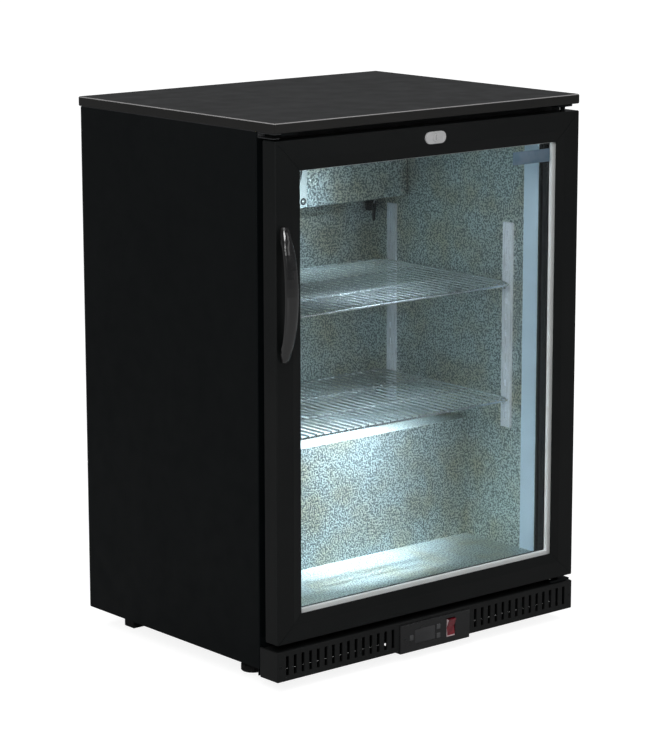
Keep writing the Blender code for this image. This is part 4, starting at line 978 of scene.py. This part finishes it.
def finned_coil(name, node, fins, rows, columns, tube):
    """Thin fins on tubes that run from side to side, with return bends at both ends."""
    low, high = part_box(node)
    thick, edge, margin, end_plate, plate_offset = 0.0004, 0.009, 0.001, 0.0008, 0.0015
    bm = bmesh.new()
    for i in range(fins):
        x = low.x + edge + (high.x - low.x - 2 * edge) * i / (fins - 1)
        fin_low = (x - thick / 2, low.y + margin, low.z + margin)
        add_box(bm, fin_low, (x + thick / 2, high.y - margin, high.z - margin))
    for x in (low.x + edge - plate_offset, high.x - edge + plate_offset):
        add_box(bm, (x - end_plate, low.y, low.z), (x + end_plate, high.y, high.z), 0.0003, 1)
    core = from_bmesh(name, bm, "fins", "cabinet")
    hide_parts(node)
    step = (high.z - low.z) / rows
    routes = []
    for column in range(columns):
        y = low.y + (high.y - low.y) * (column + 0.5) / columns
        points = []
        for row in range(rows):
            z = low.z + step * (row + 0.5)
            ends = [(low.x + tube, y, z), (high.x - tube, y, z)]
            points += ends if row % 2 == 0 else ends[::-1]
        routes.append((rounded_corners(points, min(step * 0.48, edge), steps=4), tube, False))
    wires(f"{name}_tubes", routes, "copper", "cabinet", 3)


def add_blade(bm, centre, base, spacing, hub, tip, depth):
    """One swept, twisted blade with a rounded tip: two skins from inside the hub, joined round their rim."""
    around, along, half_thick = 8, 8, 0.0006
    root, sweep, camber = 0.95 * hub, 0.30, 0.10
    sides = []
    for lift in (half_thick, -half_thick):
        grid = []
        for i in range(along + 1):
            t = i / along
            radius = root + (tip - root) * t * 0.995
            rounding = 1 - 0.35 * max(0, t - 0.8) / 0.2
            width = (0.62 + 0.30 * t) * spacing * rounding
            row = []
            for k in range(around + 1):
                s = k / around - 0.5
                angle = base + s * width + sweep * t * t
                twist = 0.80 * s * (1 - 0.35 * t)
                height = depth * (twist + camber * math.cos(math.pi * s)) + lift
                point = Vector((radius * math.cos(angle), height, radius * math.sin(angle)))
                row.append(bm.verts.new(centre + point))
            grid.append(row)
        sides.append(grid)
    front, back = sides
    for i in range(along):
        for k in range(around):
            for grid in sides:
                bm.faces.new((grid[i][k], grid[i + 1][k], grid[i + 1][k + 1], grid[i][k + 1]))
    for i in range(along):
        for k in (0, around):
            bm.faces.new((front[i][k], front[i + 1][k], back[i + 1][k], back[i][k]))
    for k in range(around):
        for i in (0, along):
            bm.faces.new((front[i][k], front[i][k + 1], back[i][k + 1], back[i][k]))


def fan_blades(node, hub_share):
    """Five blades round a domed hub."""
    low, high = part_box(node)
    centre = (low + high) / 2
    tip, depth, blades = (high.z - low.z) / 2, high.y - low.y, 5
    hub = tip * hub_share
    dome = [(0, depth * 0.5), (hub * 0.6, depth * 0.47), (hub * 0.93, depth * 0.36), (hub, depth * 0.24)]
    dome += [(hub, -depth * 0.5), (hub * 0.9, -depth * 0.5), (0, -depth * 0.44)]
    bm = bmesh.new()
    add_lathe(bm, dome, Matrix.Translation(centre) @ FACING["front"], 32)
    spacing = 2 * math.pi / blades
    for i in range(blades):
        add_blade(bm, centre, i * spacing, spacing, hub, tip, depth)
    rotor = from_bmesh(f"{node}_blades", bm, "fan", node, 40)
    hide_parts(node)


# ---------------- build

bpy.context.scene.view_settings.view_transform = "Standard"
make_camera()
make_world()
make_lights()
make_floor()
lamp_lights()

MATERIALS = make_materials()
dress_nodes()

wire_shelves()
liner_strips()
fan_plate()
fan_guard()
probe()
worktop_sealant()
bracket_rim()
door_seal()
glazing_bead()
badge()
display()
rear_screws()
evaporator_cover_screws()
hinge_screws()
grille_screws()
louvres()
finned_coil("condenser_core", "condenser", 76, 9, 2, 0.0040)
finned_coil("evaporator_core", "evaporator_coil", 48, 5, 2, 0.0035)
fan_blades("evaporator_fan", 0.34)
fan_blades("condenser_fan", 0.28)
